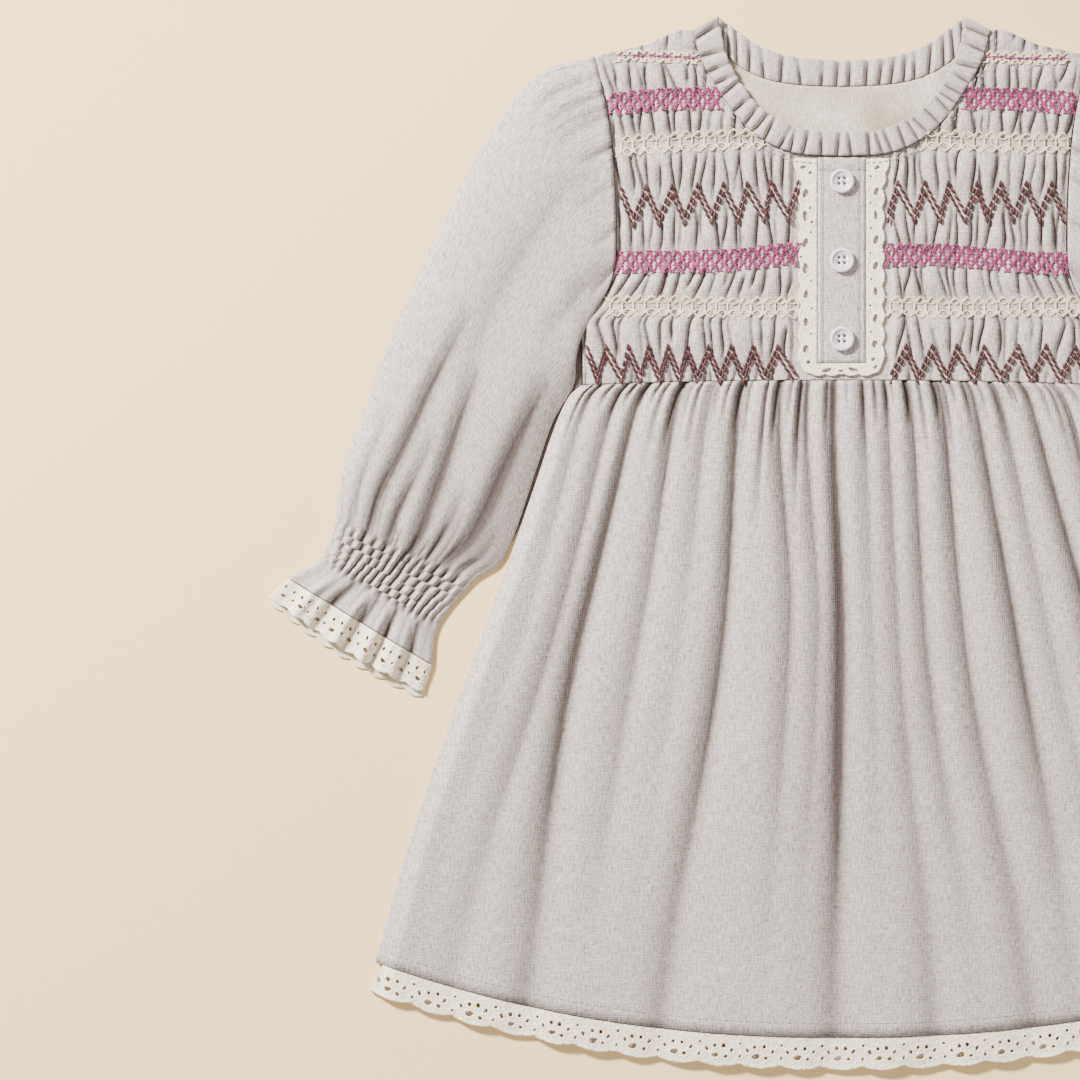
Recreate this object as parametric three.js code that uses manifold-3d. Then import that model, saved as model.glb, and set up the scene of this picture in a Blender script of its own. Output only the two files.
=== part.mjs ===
// A toddler's long-sleeved smocked dress, laid out flat on its back with its front up.
// Millimetres, +Z up: it lies on z = 0 with its neck towards +Y, and x = 0 is its centre line.
import * as THREE from "three";
import { mergeVertices } from "three/addons/utils/BufferGeometryUtils.js";
import Module from "manifold-3d";

const wasm = await Module();
wasm.setup();

// Cloth, seams and layers
const GAP = 0.3; // left between two pieces at a seam
const BACK = 1.2; // thickness of the panels that lie flat underneath
const LAYER = BACK + GAP; // underside of what lies on them
const LINING = 0.8; // thickness of the gauze lining
const WALL = 1.5; // a folded wall, measured through its cloth and creases
const THIN = 1.1; // the thinnest wall, at the foot of a fold
const ROOM = 3.8; // the most height left between two layers
const LACE = 0.9; // thickness of the cotton lace

// Half outlines of the body, with x measured from the centre line
const SKIRT_SIDE = [
  { y: -192.2, x: 214.4 },
  { y: -164.2, x: 206.5 },
  { y: -128.5, x: 196.0 },
  { y: -72.2, x: 176.2 },
  { y: -37.0, x: 163.4 },
  { y: -8.0, x: 152.9 },
  { y: 24.0, x: 141.7 },
  { y: 55.9, x: 130.7 },
  { y: 67.9, x: 124.7 },
  { y: 72.4, x: 119.7 },
];
const BODICE_SIDE = [
  { y: 72.0, x: 118.7 },
  { y: 88.8, x: 118.9 },
  { y: 96.0, x: 119.4 },
  { y: 101.9, x: 119.2 },
  { y: 112.5, x: 109.4 },
  { y: 125.1, x: 104.3 },
  { y: 144.2, x: 103.5 },
  { y: 165.3, x: 104.1 },
  { y: 190.6, x: 106.3 },
  { y: 214.9, x: 111.0 },
  { y: 223.7, x: 113.4 },
];
const UNDERARM = 101.9;
const SHOULDER_TIP = 223.7;
const SHOULDER = [
  { x: 68.4, y: 235.3 },
  { x: 90.0, y: 229.0 },
  { x: 113.4, y: 223.7 },
];
// Neck seams and the ruffle's free edges, from the centre (at 0) to the shoulder (at 1)
const FRONT_NECK = [
  { at: 0.0, seamX: 0.0, seamY: 177.6, freeX: 0.0, freeY: 188.8 },
  { at: 0.22, seamX: 21.2, seamY: 179.0, freeX: 18.2, freeY: 190.0 },
  { at: 0.4, seamX: 36.0, seamY: 185.0, freeX: 29.5, freeY: 194.8 },
  { at: 0.56, seamX: 47.5, seamY: 194.9, freeX: 40.0, freeY: 202.6 },
  { at: 0.72, seamX: 57.0, seamY: 208.6, freeX: 47.8, freeY: 213.9 },
  { at: 0.86, seamX: 64.4, seamY: 221.3, freeX: 53.2, freeY: 225.0 },
  { at: 1.0, seamX: 68.4, seamY: 235.3, freeX: 56.6, freeY: 241.9 },
];
const BACK_NECK = [
  { at: 0.0, seamX: 0.0, seamY: 209.6, freeX: 0.0, freeY: 221.7 },
  { at: 0.33, seamX: 21.2, seamY: 210.7, freeX: 21.2, freeY: 223.4 },
  { at: 0.6, seamX: 36.9, seamY: 213.9, freeX: 38.0, freeY: 228.6 },
  { at: 0.84, seamX: 50.6, seamY: 221.3, freeX: 50.4, freeY: 237.4 },
  { at: 1.0, seamX: 59.0, seamY: 230.0, freeX: 56.4, freeY: 241.7 },
];
const WAIST = 75; // height of the waist seam at the centre
const WAIST_DROP = 2.3; // and how much lower it is at the sides
const HEM = -226.8;
const HEM_RISE = 34.6; // how much higher the hem is at the sides
const HEM_CURVE = 2.2;

// The front skirt: its crest height from hem to waist, and a row for each fold, from left to right.
// A fold's foot lies at a share of the half width, and each depth is how far it drops there.
const SKIRT_RISE = [
  { v: 0.0, z: 5.6 },
  { v: 0.3, z: 6.8 },
  { v: 0.75, z: 8.0 },
  { v: 0.93, z: 7.4 },
  { v: 1.0, z: 5.9 },
];
const SKIRT_FOLDS = [
  { waist: -0.92, mid: -0.9, hem: -0.93, atWaist: 1.3, atMid: 0.6, atHem: 0.4 },
  { waist: -0.82, mid: -0.81, hem: -0.84, atWaist: 1.9, atMid: 1.7, atHem: 0.9 },
  { waist: -0.735, mid: -0.735, hem: -0.68, atWaist: 2.7, atMid: 3.2, atHem: 1.7 },
  { waist: -0.592, mid: -0.575, hem: -0.56, atWaist: 2.5, atMid: 1.5, atHem: 0.2 },
  { waist: -0.48, mid: -0.46, hem: -0.47, atWaist: 1.6, atMid: 0.5, atHem: 0.2 },
  { waist: -0.368, mid: -0.338, hem: -0.39, atWaist: 3.0, atMid: 2.5, atHem: 1.6 },
  { waist: -0.225, mid: -0.15, hem: -0.17, atWaist: 2.5, atMid: 1.7, atHem: 0.2 },
  { waist: -0.13, mid: -0.07, hem: -0.1, atWaist: 2.2, atMid: 1.4, atHem: 0.3 },
  { waist: -0.03, mid: 0.0, hem: -0.016, atWaist: 3.2, atMid: 4.7, atHem: 3.0 },
  { waist: 0.08, mid: 0.085, hem: 0.09, atWaist: 1.6, atMid: 0.8, atHem: 0.1 },
  { waist: 0.16, mid: 0.158, hem: 0.2, atWaist: 1.9, atMid: 1.5, atHem: 1.4 },
  { waist: 0.25, mid: 0.236, hem: 0.3, atWaist: 2.3, atMid: 1.9, atHem: 0.3 },
  { waist: 0.361, mid: 0.345, hem: 0.41, atWaist: 2.6, atMid: 2.0, atHem: 1.4 },
  { waist: 0.48, mid: 0.495, hem: 0.51, atWaist: 2.6, atMid: 2.5, atHem: 0.6 },
  { waist: 0.575, mid: 0.585, hem: 0.63, atWaist: 2.0, atMid: 1.0, atHem: 0.3 },
  { waist: 0.68, mid: 0.706, hem: 0.72, atWaist: 2.6, atMid: 2.6, atHem: 1.5 },
  { waist: 0.8, mid: 0.81, hem: 0.83, atWaist: 2.0, atMid: 1.3, atHem: 0.6 },
  { waist: 0.915, mid: 0.91, hem: 0.93, atWaist: 1.4, atMid: 0.7, atHem: 0.4 },
];
const SKIRT_ROWS = [0, 0.06, 0.16, 0.3, 0.45, 0.6, 0.72, 0.82, 0.89, 0.94, 0.975, 1];
const FOLD_AT_WAIST = 0.024; // half width of a fold's foot, as a share of the skirt's half width
const FOLD_AT_HEM = 0.046;
const GATHER = 1.2; // depth of the small gathers between the folds, at the waist
const GATHER_FROM = 0.7; // they begin here on the way from the hem to the waist
const SIDE_ROLL = 0.955; // the front rolls down to the side seam from here

// The smocked front bodice: how full the pleats stand in each band, drawn in where they are sewn
const BANDS = [
  { y: 71.0, full: 0.5 },
  { y: 81.8, full: 0.45 },
  { y: 95.5, full: 1.0 },
  { y: 109.5, full: 0.35 },
  { y: 120.0, full: 1.0 },
  { y: 130.8, full: 0.35 },
  { y: 142.0, full: 1.0 },
  { y: 157.0, full: 0.45 },
  { y: 171.5, full: 1.0 },
  { y: 183.8, full: 0.35 },
  { y: 194.0, full: 1.0 },
  { y: 203.8, full: 0.35 },
  { y: 213.5, full: 1.0 },
  { y: 222.5, full: 0.4 },
  { y: 231.0, full: 0.8 },
  { y: 243.0, full: 0.6 },
];
const PLEATS = 14; // on each side of the placket
const PLEAT_HIGH = 2.6;
const PLEAT_LEAN = 0.9; // each puff leans over, to the other side in the next band
const PLEAT_UNEVEN = 0.16; // share by which the pleats differ in height
const PLEAT_FALL = { from: 0.93, share: 0.6, foot: 0.3 }; // they sink into the side seams from here
const PLAIN_HALF = 22.5; // no pleats under the placket and its lace
const BODICE_FOOT = LAYER + 1.5; // outer face of the bodice at the foot of a pleat

// A sleeve: a row for each section across it, from the armhole to the flounce's edge
const SLEEVE = [
  { s: 0.0, outX: 113.8, outY: 223.9, inX: 119.9, inY: 101.6, high: 5.4, bend: 1.0 },
  { s: 1.0, outX: 140.5, outY: 214.9, inX: 122.2, inY: 86.5, high: 7.6, bend: 0.55 },
  { s: 2.0, outX: 161.6, outY: 188.6, inX: 123.2, inY: 72.0, high: 8.2, bend: 0.22 },
  { s: 3.0, outX: 177.5, outY: 159.5, inX: 132.3, inY: 56.0, high: 8.2, bend: 0.06 },
  { s: 4.0, outX: 193.3, outY: 126.2, inX: 138.3, inY: 39.0, high: 8.0, bend: 0.0 },
  { s: 5.0, outX: 207.5, outY: 94.0, inX: 144.1, inY: 21.5, high: 7.8, bend: 0.0 },
  { s: 6.0, outX: 219.5, outY: 61.2, inX: 150.7, inY: 2.5, high: 7.8, bend: 0.0 },
  { s: 7.0, outX: 229.6, outY: 33.0, inX: 157.5, inY: -9.8, high: 7.4, bend: 0.0 },
  { s: 8.0, outX: 232.7, outY: 10.0, inX: 169.5, inY: -18.2, high: 5.8, bend: 0.0 },
  { s: 9.0, outX: 239.0, outY: -6.5, inX: 185.0, inY: -37.5, high: 5.2, bend: 0.0 },
  { s: 10.0, outX: 254.1, outY: -15.9, inX: 187.9, inY: -55.9, high: 5.6, bend: 0.0 },
];
const SHIRR_FROM = 8; // the elastic rows lie between these two sections
const SHIRR_TO = 9;
const ELASTIC_ROWS = 5;
const FLOUNCE_TO = 10;
const SLEEVE_SECTIONS = [0, 0.35, 0.8, 1.4, 2.2, 3.2, 4.2, 5.1, 5.9, 6.6, 7.3, 7.7];
const HOLLOW_SECTIONS = [0, 0.8, 2.2, 3.2, 4.2, 5.1, 5.9, 6.6, 7.3, 8, 9, 10];
const SLEEVE_COLUMNS = 28; // two for each pucker of the shirring
const UNDER_COLUMNS = 8;
const HOLLOW_INSET = 0.07; // the hollow stays this share of the width inside each edge
const SLEEVE_EDGE = 1.7; // height of the upper layer where it rolls under
const SLEEVE_FLATNESS = 5; // the higher, the flatter the top between its rolled edges
const PUFF = { high: 0.5, pucker: 0.55, sewnPucker: 0.25 }; // relief between and on the elastic rows
// Its folds run along it: their feet, as a share of the way across, at their first and last section
const SLEEVE_FOLDS = [
  { from: -0.5, to: 1.3, first: 0.06, last: 0.1, deep: 1.5, wide: 0.022 },
  { from: -0.5, to: 1.1, first: 0.13, last: 0.17, deep: 1.3, wide: 0.022 },
  { from: -0.5, to: 1.0, first: 0.21, last: 0.25, deep: 1.0, wide: 0.024 },
  { from: 0.2, to: 4.6, first: 0.4, last: 0.44, deep: 0.9, wide: 0.08 },
  { from: -0.6, to: 2.6, first: 0.8, last: 0.72, deep: 1.1, wide: 0.05 },
  { from: 5.6, to: 8.6, first: 0.13, last: 0.1, deep: 1.3, wide: 0.036 },
  { from: 4.4, to: 8.6, first: 0.3, last: 0.2, deep: 2.0, wide: 0.04 },
  { from: 5.4, to: 8.6, first: 0.41, last: 0.34, deep: 1.5, wide: 0.036 },
  { from: 4.8, to: 8.6, first: 0.5, last: 0.54, deep: 2.3, wide: 0.04 },
  { from: 5.8, to: 8.6, first: 0.66, last: 0.65, deep: 1.5, wide: 0.036 },
  { from: 4.2, to: 8.6, first: 0.82, last: 0.76, deep: 2.2, wide: 0.04 },
  { from: 6.0, to: 8.6, first: 0.91, last: 0.88, deep: 1.2, wide: 0.036 },
];
const FLOUNCE_WAVES = 5;
const FLOUNCE_WAVE = 1.3;
const CUFF_LACE = [
  { s: 0.0, outX: 254.4, outY: -16.3, inX: 188.1, inY: -56.3 },
  { s: 1.0, outX: 262.1, outY: -24.0, inX: 191.9, inY: -68.0 },
];
const CUFF_LACE_BULGE = 2.6; // its edge bows out by this in the middle
const CUFF_LACE_SINK = 0.9;
const CUFF_SCALLOPS = 9;
const DOWN_THE_ARM = { x: 0.5, y: -0.86 };

// Neck ruffle
const FRONT_GATHERS = 24;
const BACK_GATHERS = 17;
const RUFFLE_WAVE = 0.9;
const RUFFLE_WALL = 1.0;
const RUFFLE_FRONT_Z = 3.9; // middle of its underside where it lies over the lining and the back ruffle
const RUFFLE_BACK_Z = 0.9;

// Placket, its lace and the buttons
const PLACKET = { half: 11, top: 177.1, foot: 82.8, thick: 1.8 };
const PLACKET_LACE = { half: 18.6, foot: 77.6, flare: 21.6, flareFrom: 163, corner: 4.5 };
const SCALLOP = { pitch: 8.6, deep: 1.3 };
const BUTTON = { radius: 5.6, rim: 2.4, well: 1.7, wellRadius: 3.5, hole: 0.85, holeAt: 1.35 };
const BUTTON_ROWS = [166.1, 129.7, 93.7];

// Hem lace: the front one lies a little below the hem's outside, and sinks towards its edge
const HEM_LACE = { deep: 12.4, deepMore: 1.2, scallop: 1.7, flare: 2.9, count: 23, sink: 1.0, below: 0.6 };

const MATERIALS = {
  linen: { color: 0xc6bfbb, roughness: 0.92, metalness: 0 },
  gauze: { color: 0xdcd4c8, roughness: 0.95, metalness: 0 },
  lace: { color: 0xf3ebdf, roughness: 0.9, metalness: 0 },
  button: { color: 0xe4dcde, roughness: 0.45, metalness: 0 },
};

// A smooth curve through a table: column `to` as a function of column `from`, rising or falling.
function smooth(table, from, to) {
  const rows = table.at(-1)[from] > table[0][from] ? table : [...table].reverse();
  const slopes = rows.map((_, i) => {
    const before = rows[Math.max(i - 1, 0)];
    const after = rows[Math.min(i + 1, rows.length - 1)];
    return (after[to] - before[to]) / (after[from] - before[from]);
  });
  return (value) => {
    let i = 0;
    while (i < rows.length - 2 && value > rows[i + 1][from]) i += 1;
    const span = rows[i + 1][from] - rows[i][from];
    const t = THREE.MathUtils.clamp((value - rows[i][from]) / span, 0, 1);
    const eased = t * t * (3 - 2 * t);
    const start = (t * (1 - t) * (1 - t)) * span * slopes[i];
    const end = (t * t * (t - 1)) * span * slopes[i + 1];
    return THREE.MathUtils.lerp(rows[i][to], rows[i + 1][to], eased) + start + end;
  };
}

const { lerp, smoothstep } = THREE.MathUtils;
const skirtSide = smooth(SKIRT_SIDE, "y", "x");
const bodiceSide = smooth(BODICE_SIDE, "y", "x");
const shoulder = smooth(SHOULDER, "x", "y");
const waistAt = (u) => WAIST - WAIST_DROP * u * u;
const hemAt = (u) => HEM + HEM_RISE * Math.abs(u) ** HEM_CURVE;
const hemOfSide = SKIRT_SIDE[0].y;
const waistOfSide = SKIRT_SIDE.at(-1).y;

// Values from 0 to 1 in even steps.
const steps = (count) => Array.from({ length: count + 1 }, (_, i) => i / count);

// Fills the strip between two lines of points, keeping in step with how far along each is.
function strip(a, b, faces) {
  let i = 0;
  let j = 0;
  while (i < a.length - 1 || j < b.length - 1) {
    const stepsA = j === b.length - 1 || (i < a.length - 1 && a[i + 1].along <= b[j + 1].along);
    faces.push(stepsA ? [a[i].id, a[i + 1].id, b[j].id] : [a[i].id, b[j + 1].id, b[j].id]);
    if (stepsA) i += 1;
    else j += 1;
  }
}

// Closes rows of points into one solid. A row holds the points of its top, from one side to the
// other, and those of its underside, in the same order. Hollow rows make a hollow inside the solid,
// open at both ends.
function cloth(rows, hollow = []) {
  const points = [];
  const faces = [];
  const HALF = 0.5; // the top takes the first half of the way round, the underside the second
  const SHORT = 0.49;
  const numbered = ({ top, under }) => {
    const line = (list) => list.map((point, i) => {
      points.push(point);
      return { id: points.length - 1, along: (SHORT * i) / (list.length - 1) };
    });
    const upper = line(top);
    const lower = line(under);
    const back = [...lower].reverse().map(({ id, along }) => ({ id, along: HALF + SHORT - along }));
    return { upper, lower, round: [...upper, ...back, { id: upper[0].id, along: 1 }] };
  };
  const outside = rows.map(numbered);
  const inside = hollow.map(numbered);
  outside.slice(1).forEach((row, i) => strip(outside[i].round, row.round, faces));
  inside.slice(1).forEach((row, i) => strip(row.round, inside[i].round, faces));
  if (inside.length) {
    strip(inside[0].round, outside[0].round, faces);
    strip(outside.at(-1).round, inside.at(-1).round, faces);
  } else {
    strip(outside[0].lower, outside[0].upper, faces);
    strip(outside.at(-1).upper, outside.at(-1).lower, faces);
  }
  const [a, b, c] = [new THREE.Vector3(), new THREE.Vector3(), new THREE.Vector3()];
  const volume = faces.reduce((sum, face) => {
    [a, b, c].forEach((corner, k) => corner.fromArray(points[face[k]]));
    return sum + a.dot(b.cross(c));
  }, 0);
  const geometry = new THREE.BufferGeometry();
  geometry.setAttribute("position", new THREE.Float32BufferAttribute(points.flat(), 3));
  geometry.setIndex((volume < 0 ? faces.map((face) => face.toReversed()) : faces).flat());
  geometry.computeVertexNormals();
  return geometry;
}

// A flat piece of the given outline, from z up through its thickness.
function flat(outline, z, thickness) {
  const shape = new THREE.Shape(outline.map(([x, y]) => new THREE.Vector2(x, y)));
  return new THREE.ExtrudeGeometry(shape, { depth: thickness, bevelEnabled: false }).translate(0, 0, z);
}

// The right half of an outline, from the foot of the centre line to its head, and its mirror image.
function bothHalves(right) {
  const left = right.filter(([x]) => x > 0).map(([x, y]) => [-x, y]);
  return [...right, ...left.reverse()];
}

function asManifold(geometry) {
  const bare = geometry.clone();
  bare.deleteAttribute("normal");
  bare.deleteAttribute("uv");
  const merged = mergeVertices(bare, 1e-4);
  const vertProperties = merged.attributes.position.array;
  const triVerts = new Uint32Array(merged.index.array);
  return new wasm.Manifold(new wasm.Mesh({ numProp: 3, vertProperties, triVerts }));
}

function fromManifold(solid) {
  const { vertProperties, triVerts } = solid.getMesh();
  const geometry = new THREE.BufferGeometry();
  geometry.setAttribute("position", new THREE.BufferAttribute(vertProperties, 3));
  geometry.setIndex(new THREE.BufferAttribute(triVerts, 1));
  geometry.computeVertexNormals();
  return geometry;
}

const dress = new THREE.Group();

function add(name, geometry, material) {
  const mesh = new THREE.Mesh(geometry, new THREE.MeshStandardMaterial(MATERIALS[material]));
  mesh.name = name;
  dress.add(mesh);
}

// A soft foot of a fold, 1 at its middle and 0 away from it.
const foot = (distance, width) => Math.exp(-((distance / width) ** 2));

// A value given at the hem, at the middle and at the waist, taken at v between them.
function between(hem, mid, waist, v) {
  const MIDDLE = 0.62;
  return v < MIDDLE
    ? lerp(hem, mid, smoothstep(v, 0, MIDDLE))
    : lerp(mid, waist, smoothstep(v, MIDDLE, 1));
}

const skirtRise = smooth(SKIRT_RISE, "v", "z");
const skirtWidth = (v) => skirtSide(lerp(hemOfSide, waistOfSide, v));
const foldPlace = (fold, v) => between(fold.hem, fold.mid, fold.waist, v);
const foldWidth = (v) => lerp(FOLD_AT_HEM, FOLD_AT_WAIST, v);

// Outer height of the front skirt at u, a share of the half width, and v, from hem to waist.
function skirtTop(u, v) {
  const drop = SKIRT_FOLDS.reduce((sum, fold) => {
    const deep = between(fold.atHem, fold.atMid, fold.atWaist, v);
    return sum + deep * foot(u - foldPlace(fold, v), foldWidth(v));
  }, 0);
  const open = Math.max(skirtRise(v) - drop, LAYER + THIN);
  return lerp(open, LAYER + THIN, smoothstep(Math.abs(u), SIDE_ROLL, 1));
}

// Columns of the front skirt at v: each fold's foot, its two flanks and the crest to the next fold.
function skirtColumns(v) {
  const feet = SKIRT_FOLDS.map((fold) => foldPlace(fold, v));
  const flank = foldWidth(v);
  const columns = [{ u: -1 }];
  feet.forEach((u, i) => {
    const next = feet[i + 1] ?? 1;
    const before = feet[i - 1] ?? -1;
    columns.push({ u: u - Math.min(flank, (u - before) / 3) });
    columns.push({ u });
    columns.push({ u: u + Math.min(flank, (next - u) / 3) });
    if (i < feet.length - 1) columns.push({ u: (u + next) / 2, crest: true });
  });
  columns.push({ u: 1 });
  return columns;
}

function frontSkirt() {
  const rows = SKIRT_ROWS.map((v) => {
    const gather = GATHER * smoothstep(v, GATHER_FROM, 1);
    const place = (u, z) => [u * skirtWidth(v), lerp(hemAt(u), waistAt(u) - GAP, v), z];
    const columns = skirtColumns(v);
    const top = columns.map(({ u, crest }) => place(u, skirtTop(u, v) - (crest ? gather : 0)));
    const under = columns.map(({ u }) => {
      const inner = Math.min(skirtTop(u, v) - gather - WALL, LAYER + ROOM);
      return place(u, Math.max(inner, LAYER));
    });
    return { top, under };
  });
  return cloth(rows);
}

function backSkirt() {
  const SIDE_STEPS = 10;
  const EDGE_STEPS = 12;
  const hem = steps(EDGE_STEPS).map((u) => [u * skirtWidth(0), hemAt(u)]);
  const side = steps(SIDE_STEPS).slice(1).map((v) => [skirtWidth(v), lerp(hemAt(1), waistAt(1) - GAP, v)]);
  const waist = steps(EDGE_STEPS).slice(1).map((t) => [(1 - t) * skirtWidth(1), waistAt(1 - t) - GAP]);
  return flat(bothHalves([...hem, ...side, ...waist]), 0, BACK);
}

// A line along the neck at a share of the way from the centre to the shoulder.
function neckPoint(table, edge, at) {
  return [smooth(table, "at", edge + "X")(at), smooth(table, "at", edge + "Y")(at)];
}

// Outline of a bodice panel, whose neckline follows the seam in the given table.
function bodiceOutline(neck) {
  const NECK_STEPS = 12;
  const ARMHOLE_STEPS = 36;
  const waist = steps(6).map((u) => [u * bodiceSide(WAIST), waistAt(u)]);
  const armhole = steps(ARMHOLE_STEPS).slice(1).map((t) => {
    const y = lerp(waistAt(1), SHOULDER_TIP, t);
    return [bodiceSide(y), y];
  });
  const top = steps(4).slice(1).map((t) => {
    const x = lerp(SHOULDER.at(-1).x, SHOULDER[0].x, t);
    return [x, shoulder(x)];
  });
  const line = steps(NECK_STEPS).map((t) => neckPoint(neck, "seam", 1 - t));
  return bothHalves([...waist, ...armhole, ...top, ...line.slice(neck === FRONT_NECK ? 1 : 0)]);
}

// Columns of the smocked bodice in one band: three for each pleat, none under the placket.
function bodiceRow({ y, full }, band) {
  const COLUMNS = 3 * PLEATS;
  const ARCH = [0, 0.9, 0.85]; // height of the three points across a pleat
  const MARGIN = 2; // the panel is cut to its outline afterwards
  const lean = PLEAT_LEAN * full * (band % 2 ? 1 : -1);
  const half = bodiceSide(y) + MARGIN;
  const side = steps(COLUMNS).map((t) => {
    const column = Math.round(t * COLUMNS);
    const inside = t > 0 && t < 1;
    const fall = smoothstep(t, PLEAT_FALL.from, 1);
    const uneven = 1 + PLEAT_UNEVEN * Math.sin(2.4 * Math.floor(column / 3) + 1.7 * band);
    const high = PLEAT_HIGH * full * uneven * (1 - PLEAT_FALL.share * fall);
    const z = BODICE_FOOT - PLEAT_FALL.foot * fall + (inside ? high * ARCH[column % 3] : 0);
    return { x: lerp(PLAIN_HALF, half, t) + (inside ? lean : 0), z };
  });
  const right = side.map(({ x, z }) => [x, y, z]);
  const left = side.map(({ x, z }) => [-x, y, z]).reverse();
  return { top: [...left, ...right], under: [[-half, y, LAYER], [half, y, LAYER]] };
}

function frontBodice() {
  const ABOVE = 20;
  const relief = asManifold(cloth(BANDS.map(bodiceRow)));
  const outline = asManifold(flat(bodiceOutline(FRONT_NECK), 0, ABOVE));
  return fromManifold(relief.intersect(outline));
}

// The lining lies on the back bodice and fills the neck, inside both neck seams.
function backLining() {
  const STEPS = 12;
  const INSET = 0.99; // keeps it clear of the seams around it
  const low = steps(STEPS).map((t) => neckPoint(FRONT_NECK, "seam", 0.9 * t));
  const high = steps(STEPS).map((t) => neckPoint(BACK_NECK, "seam", 1 - t));
  const middle = (FRONT_NECK[0].seamY + BACK_NECK[0].seamY) / 2;
  const inset = ([x, y]) => [x * INSET, lerp(middle, y, INSET)];
  const outline = bothHalves([...low, ...high].map(inset));
  return flat(outline, LAYER, LINING);
}

// One stretch of the gathered ruffle: its seam edge, its middle and its free edge.
function ruffle(neck, gathers, z) {
  const COLUMNS = 3 * gathers;
  const MID_WAVE = 0.8;
  const row = (share, wave) => {
    const points = steps(COLUMNS).map((t, i) => {
      const q = 2 * t - 1;
      const seam = neckPoint(neck, "seam", Math.abs(q));
      const free = neckPoint(neck, "free", Math.abs(q));
      const lift = wave * RUFFLE_WAVE * Math.cos((2 * Math.PI * i) / 3 + 0.9 * Math.sin(i));
      const x = Math.sign(q) * lerp(seam[0], free[0], share);
      return [x, lerp(seam[1], free[1], share) + 0.5 * lift * share, z + lift];
    });
    return { top: points.map(([x, y, low]) => [x, y, low + RUFFLE_WALL]), under: points };
  };
  const SEAM_WAVE = 0.5;
  const START = 0.03; // the strip begins this share of its width away from the seam
  return cloth([row(START, SEAM_WAVE), row(0.5, MID_WAVE), row(1, 1)]);
}

const sleeveColumn = Object.fromEntries(
  ["outX", "outY", "inX", "inY", "high", "bend"].map((key) => [key, smooth(SLEEVE, "s", key)]),
);

// A place on a sleeve: section s, and t across it from its outer to its inner edge.
function sleevePlace(s, t) {
  const first = SLEEVE[0];
  const y = lerp(first.outY, first.inY, t);
  const armhole = bodiceSide(THREE.MathUtils.clamp(y, UNDERARM, SHOULDER_TIP)) + 2 * GAP;
  const bend = sleeveColumn.bend(s) * (armhole - lerp(first.outX, first.inX, t));
  return [
    lerp(sleeveColumn.outX(s), sleeveColumn.inX(s), t) + bend,
    lerp(sleeveColumn.outY(s), sleeveColumn.inY(s), t),
  ];
}

const sleeveDome = (t) => 1 - Math.abs(2 * t - 1) ** SLEEVE_FLATNESS;

// Outer height of the upper layer there, without the puckers of the shirring.
function sleeveTop(s, t) {
  const drop = SLEEVE_FOLDS.reduce((sum, { from, to, first, last, deep, wide }) => {
    const way = (s - from) / (to - from);
    const strength = Math.sin(Math.PI * THREE.MathUtils.clamp(way, 0, 1)) ** 0.6;
    return sum + deep * strength * foot(t - lerp(first, last, way), wide);
  }, 0);
  const wave = FLOUNCE_WAVE * Math.cos(2 * Math.PI * FLOUNCE_WAVES * t);
  const high = sleeveColumn.high(s) - drop + wave * smoothstep(s, SHIRR_TO, FLOUNCE_TO);
  return SLEEVE_EDGE + (high - SLEEVE_EDGE) * sleeveDome(t);
}

function sleeve(side) {
  const place = (s, t, z) => {
    const [x, y] = sleevePlace(s, t);
    return [side * x, y, z];
  };
  const section = (s, relief) => ({
    top: steps(SLEEVE_COLUMNS).map((t, i) => {
      const edge = i === 0 || i === SLEEVE_COLUMNS;
      return place(s, t, sleeveTop(s, t) + (edge ? 0 : relief(i)));
    }),
    under: steps(s === 0 ? SLEEVE_COLUMNS : UNDER_COLUMNS).map((t) => place(s, t, 0)),
  });
  const plain = (s) => section(s, () => 0);
  const shirring = steps(2 * ELASTIC_ROWS).map((way, row) => {
    const puffed = row % 2 === 0;
    const high = puffed ? PUFF.high : -PUFF.high;
    const pucker = puffed ? PUFF.pucker : PUFF.sewnPucker;
    const turn = Math.floor(row / 2);
    return section(lerp(SHIRR_FROM, SHIRR_TO, way), (i) => high + pucker * (-1) ** (i + turn));
  });
  const flounce = steps(3).slice(1).map((way) => plain(lerp(SHIRR_TO, FLOUNCE_TO, way)));
  const NEAR = 1 / SLEEVE_COLUMNS;
  const hollow = HOLLOW_SECTIONS.map((s) => {
    const across = steps(12).map((t) => lerp(HOLLOW_INSET, 1 - HOLLOW_INSET, t));
    const top = across.map((t) => {
      const lowest = Math.min(sleeveTop(s, t - NEAR), sleeveTop(s, t), sleeveTop(s, t + NEAR));
      const relief = s >= SHIRR_FROM ? THIN + PUFF.high : THIN + GAP;
      return place(s, t, Math.max(Math.min(lowest - relief, BACK + ROOM), BACK + GAP));
    });
    return { top, under: across.filter((_, i) => i % 2 === 0).map((t) => place(s, t, BACK)) };
  });
  return cloth([...SLEEVE_SECTIONS.map(plain), ...shirring, ...flounce], hollow);
}

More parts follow.
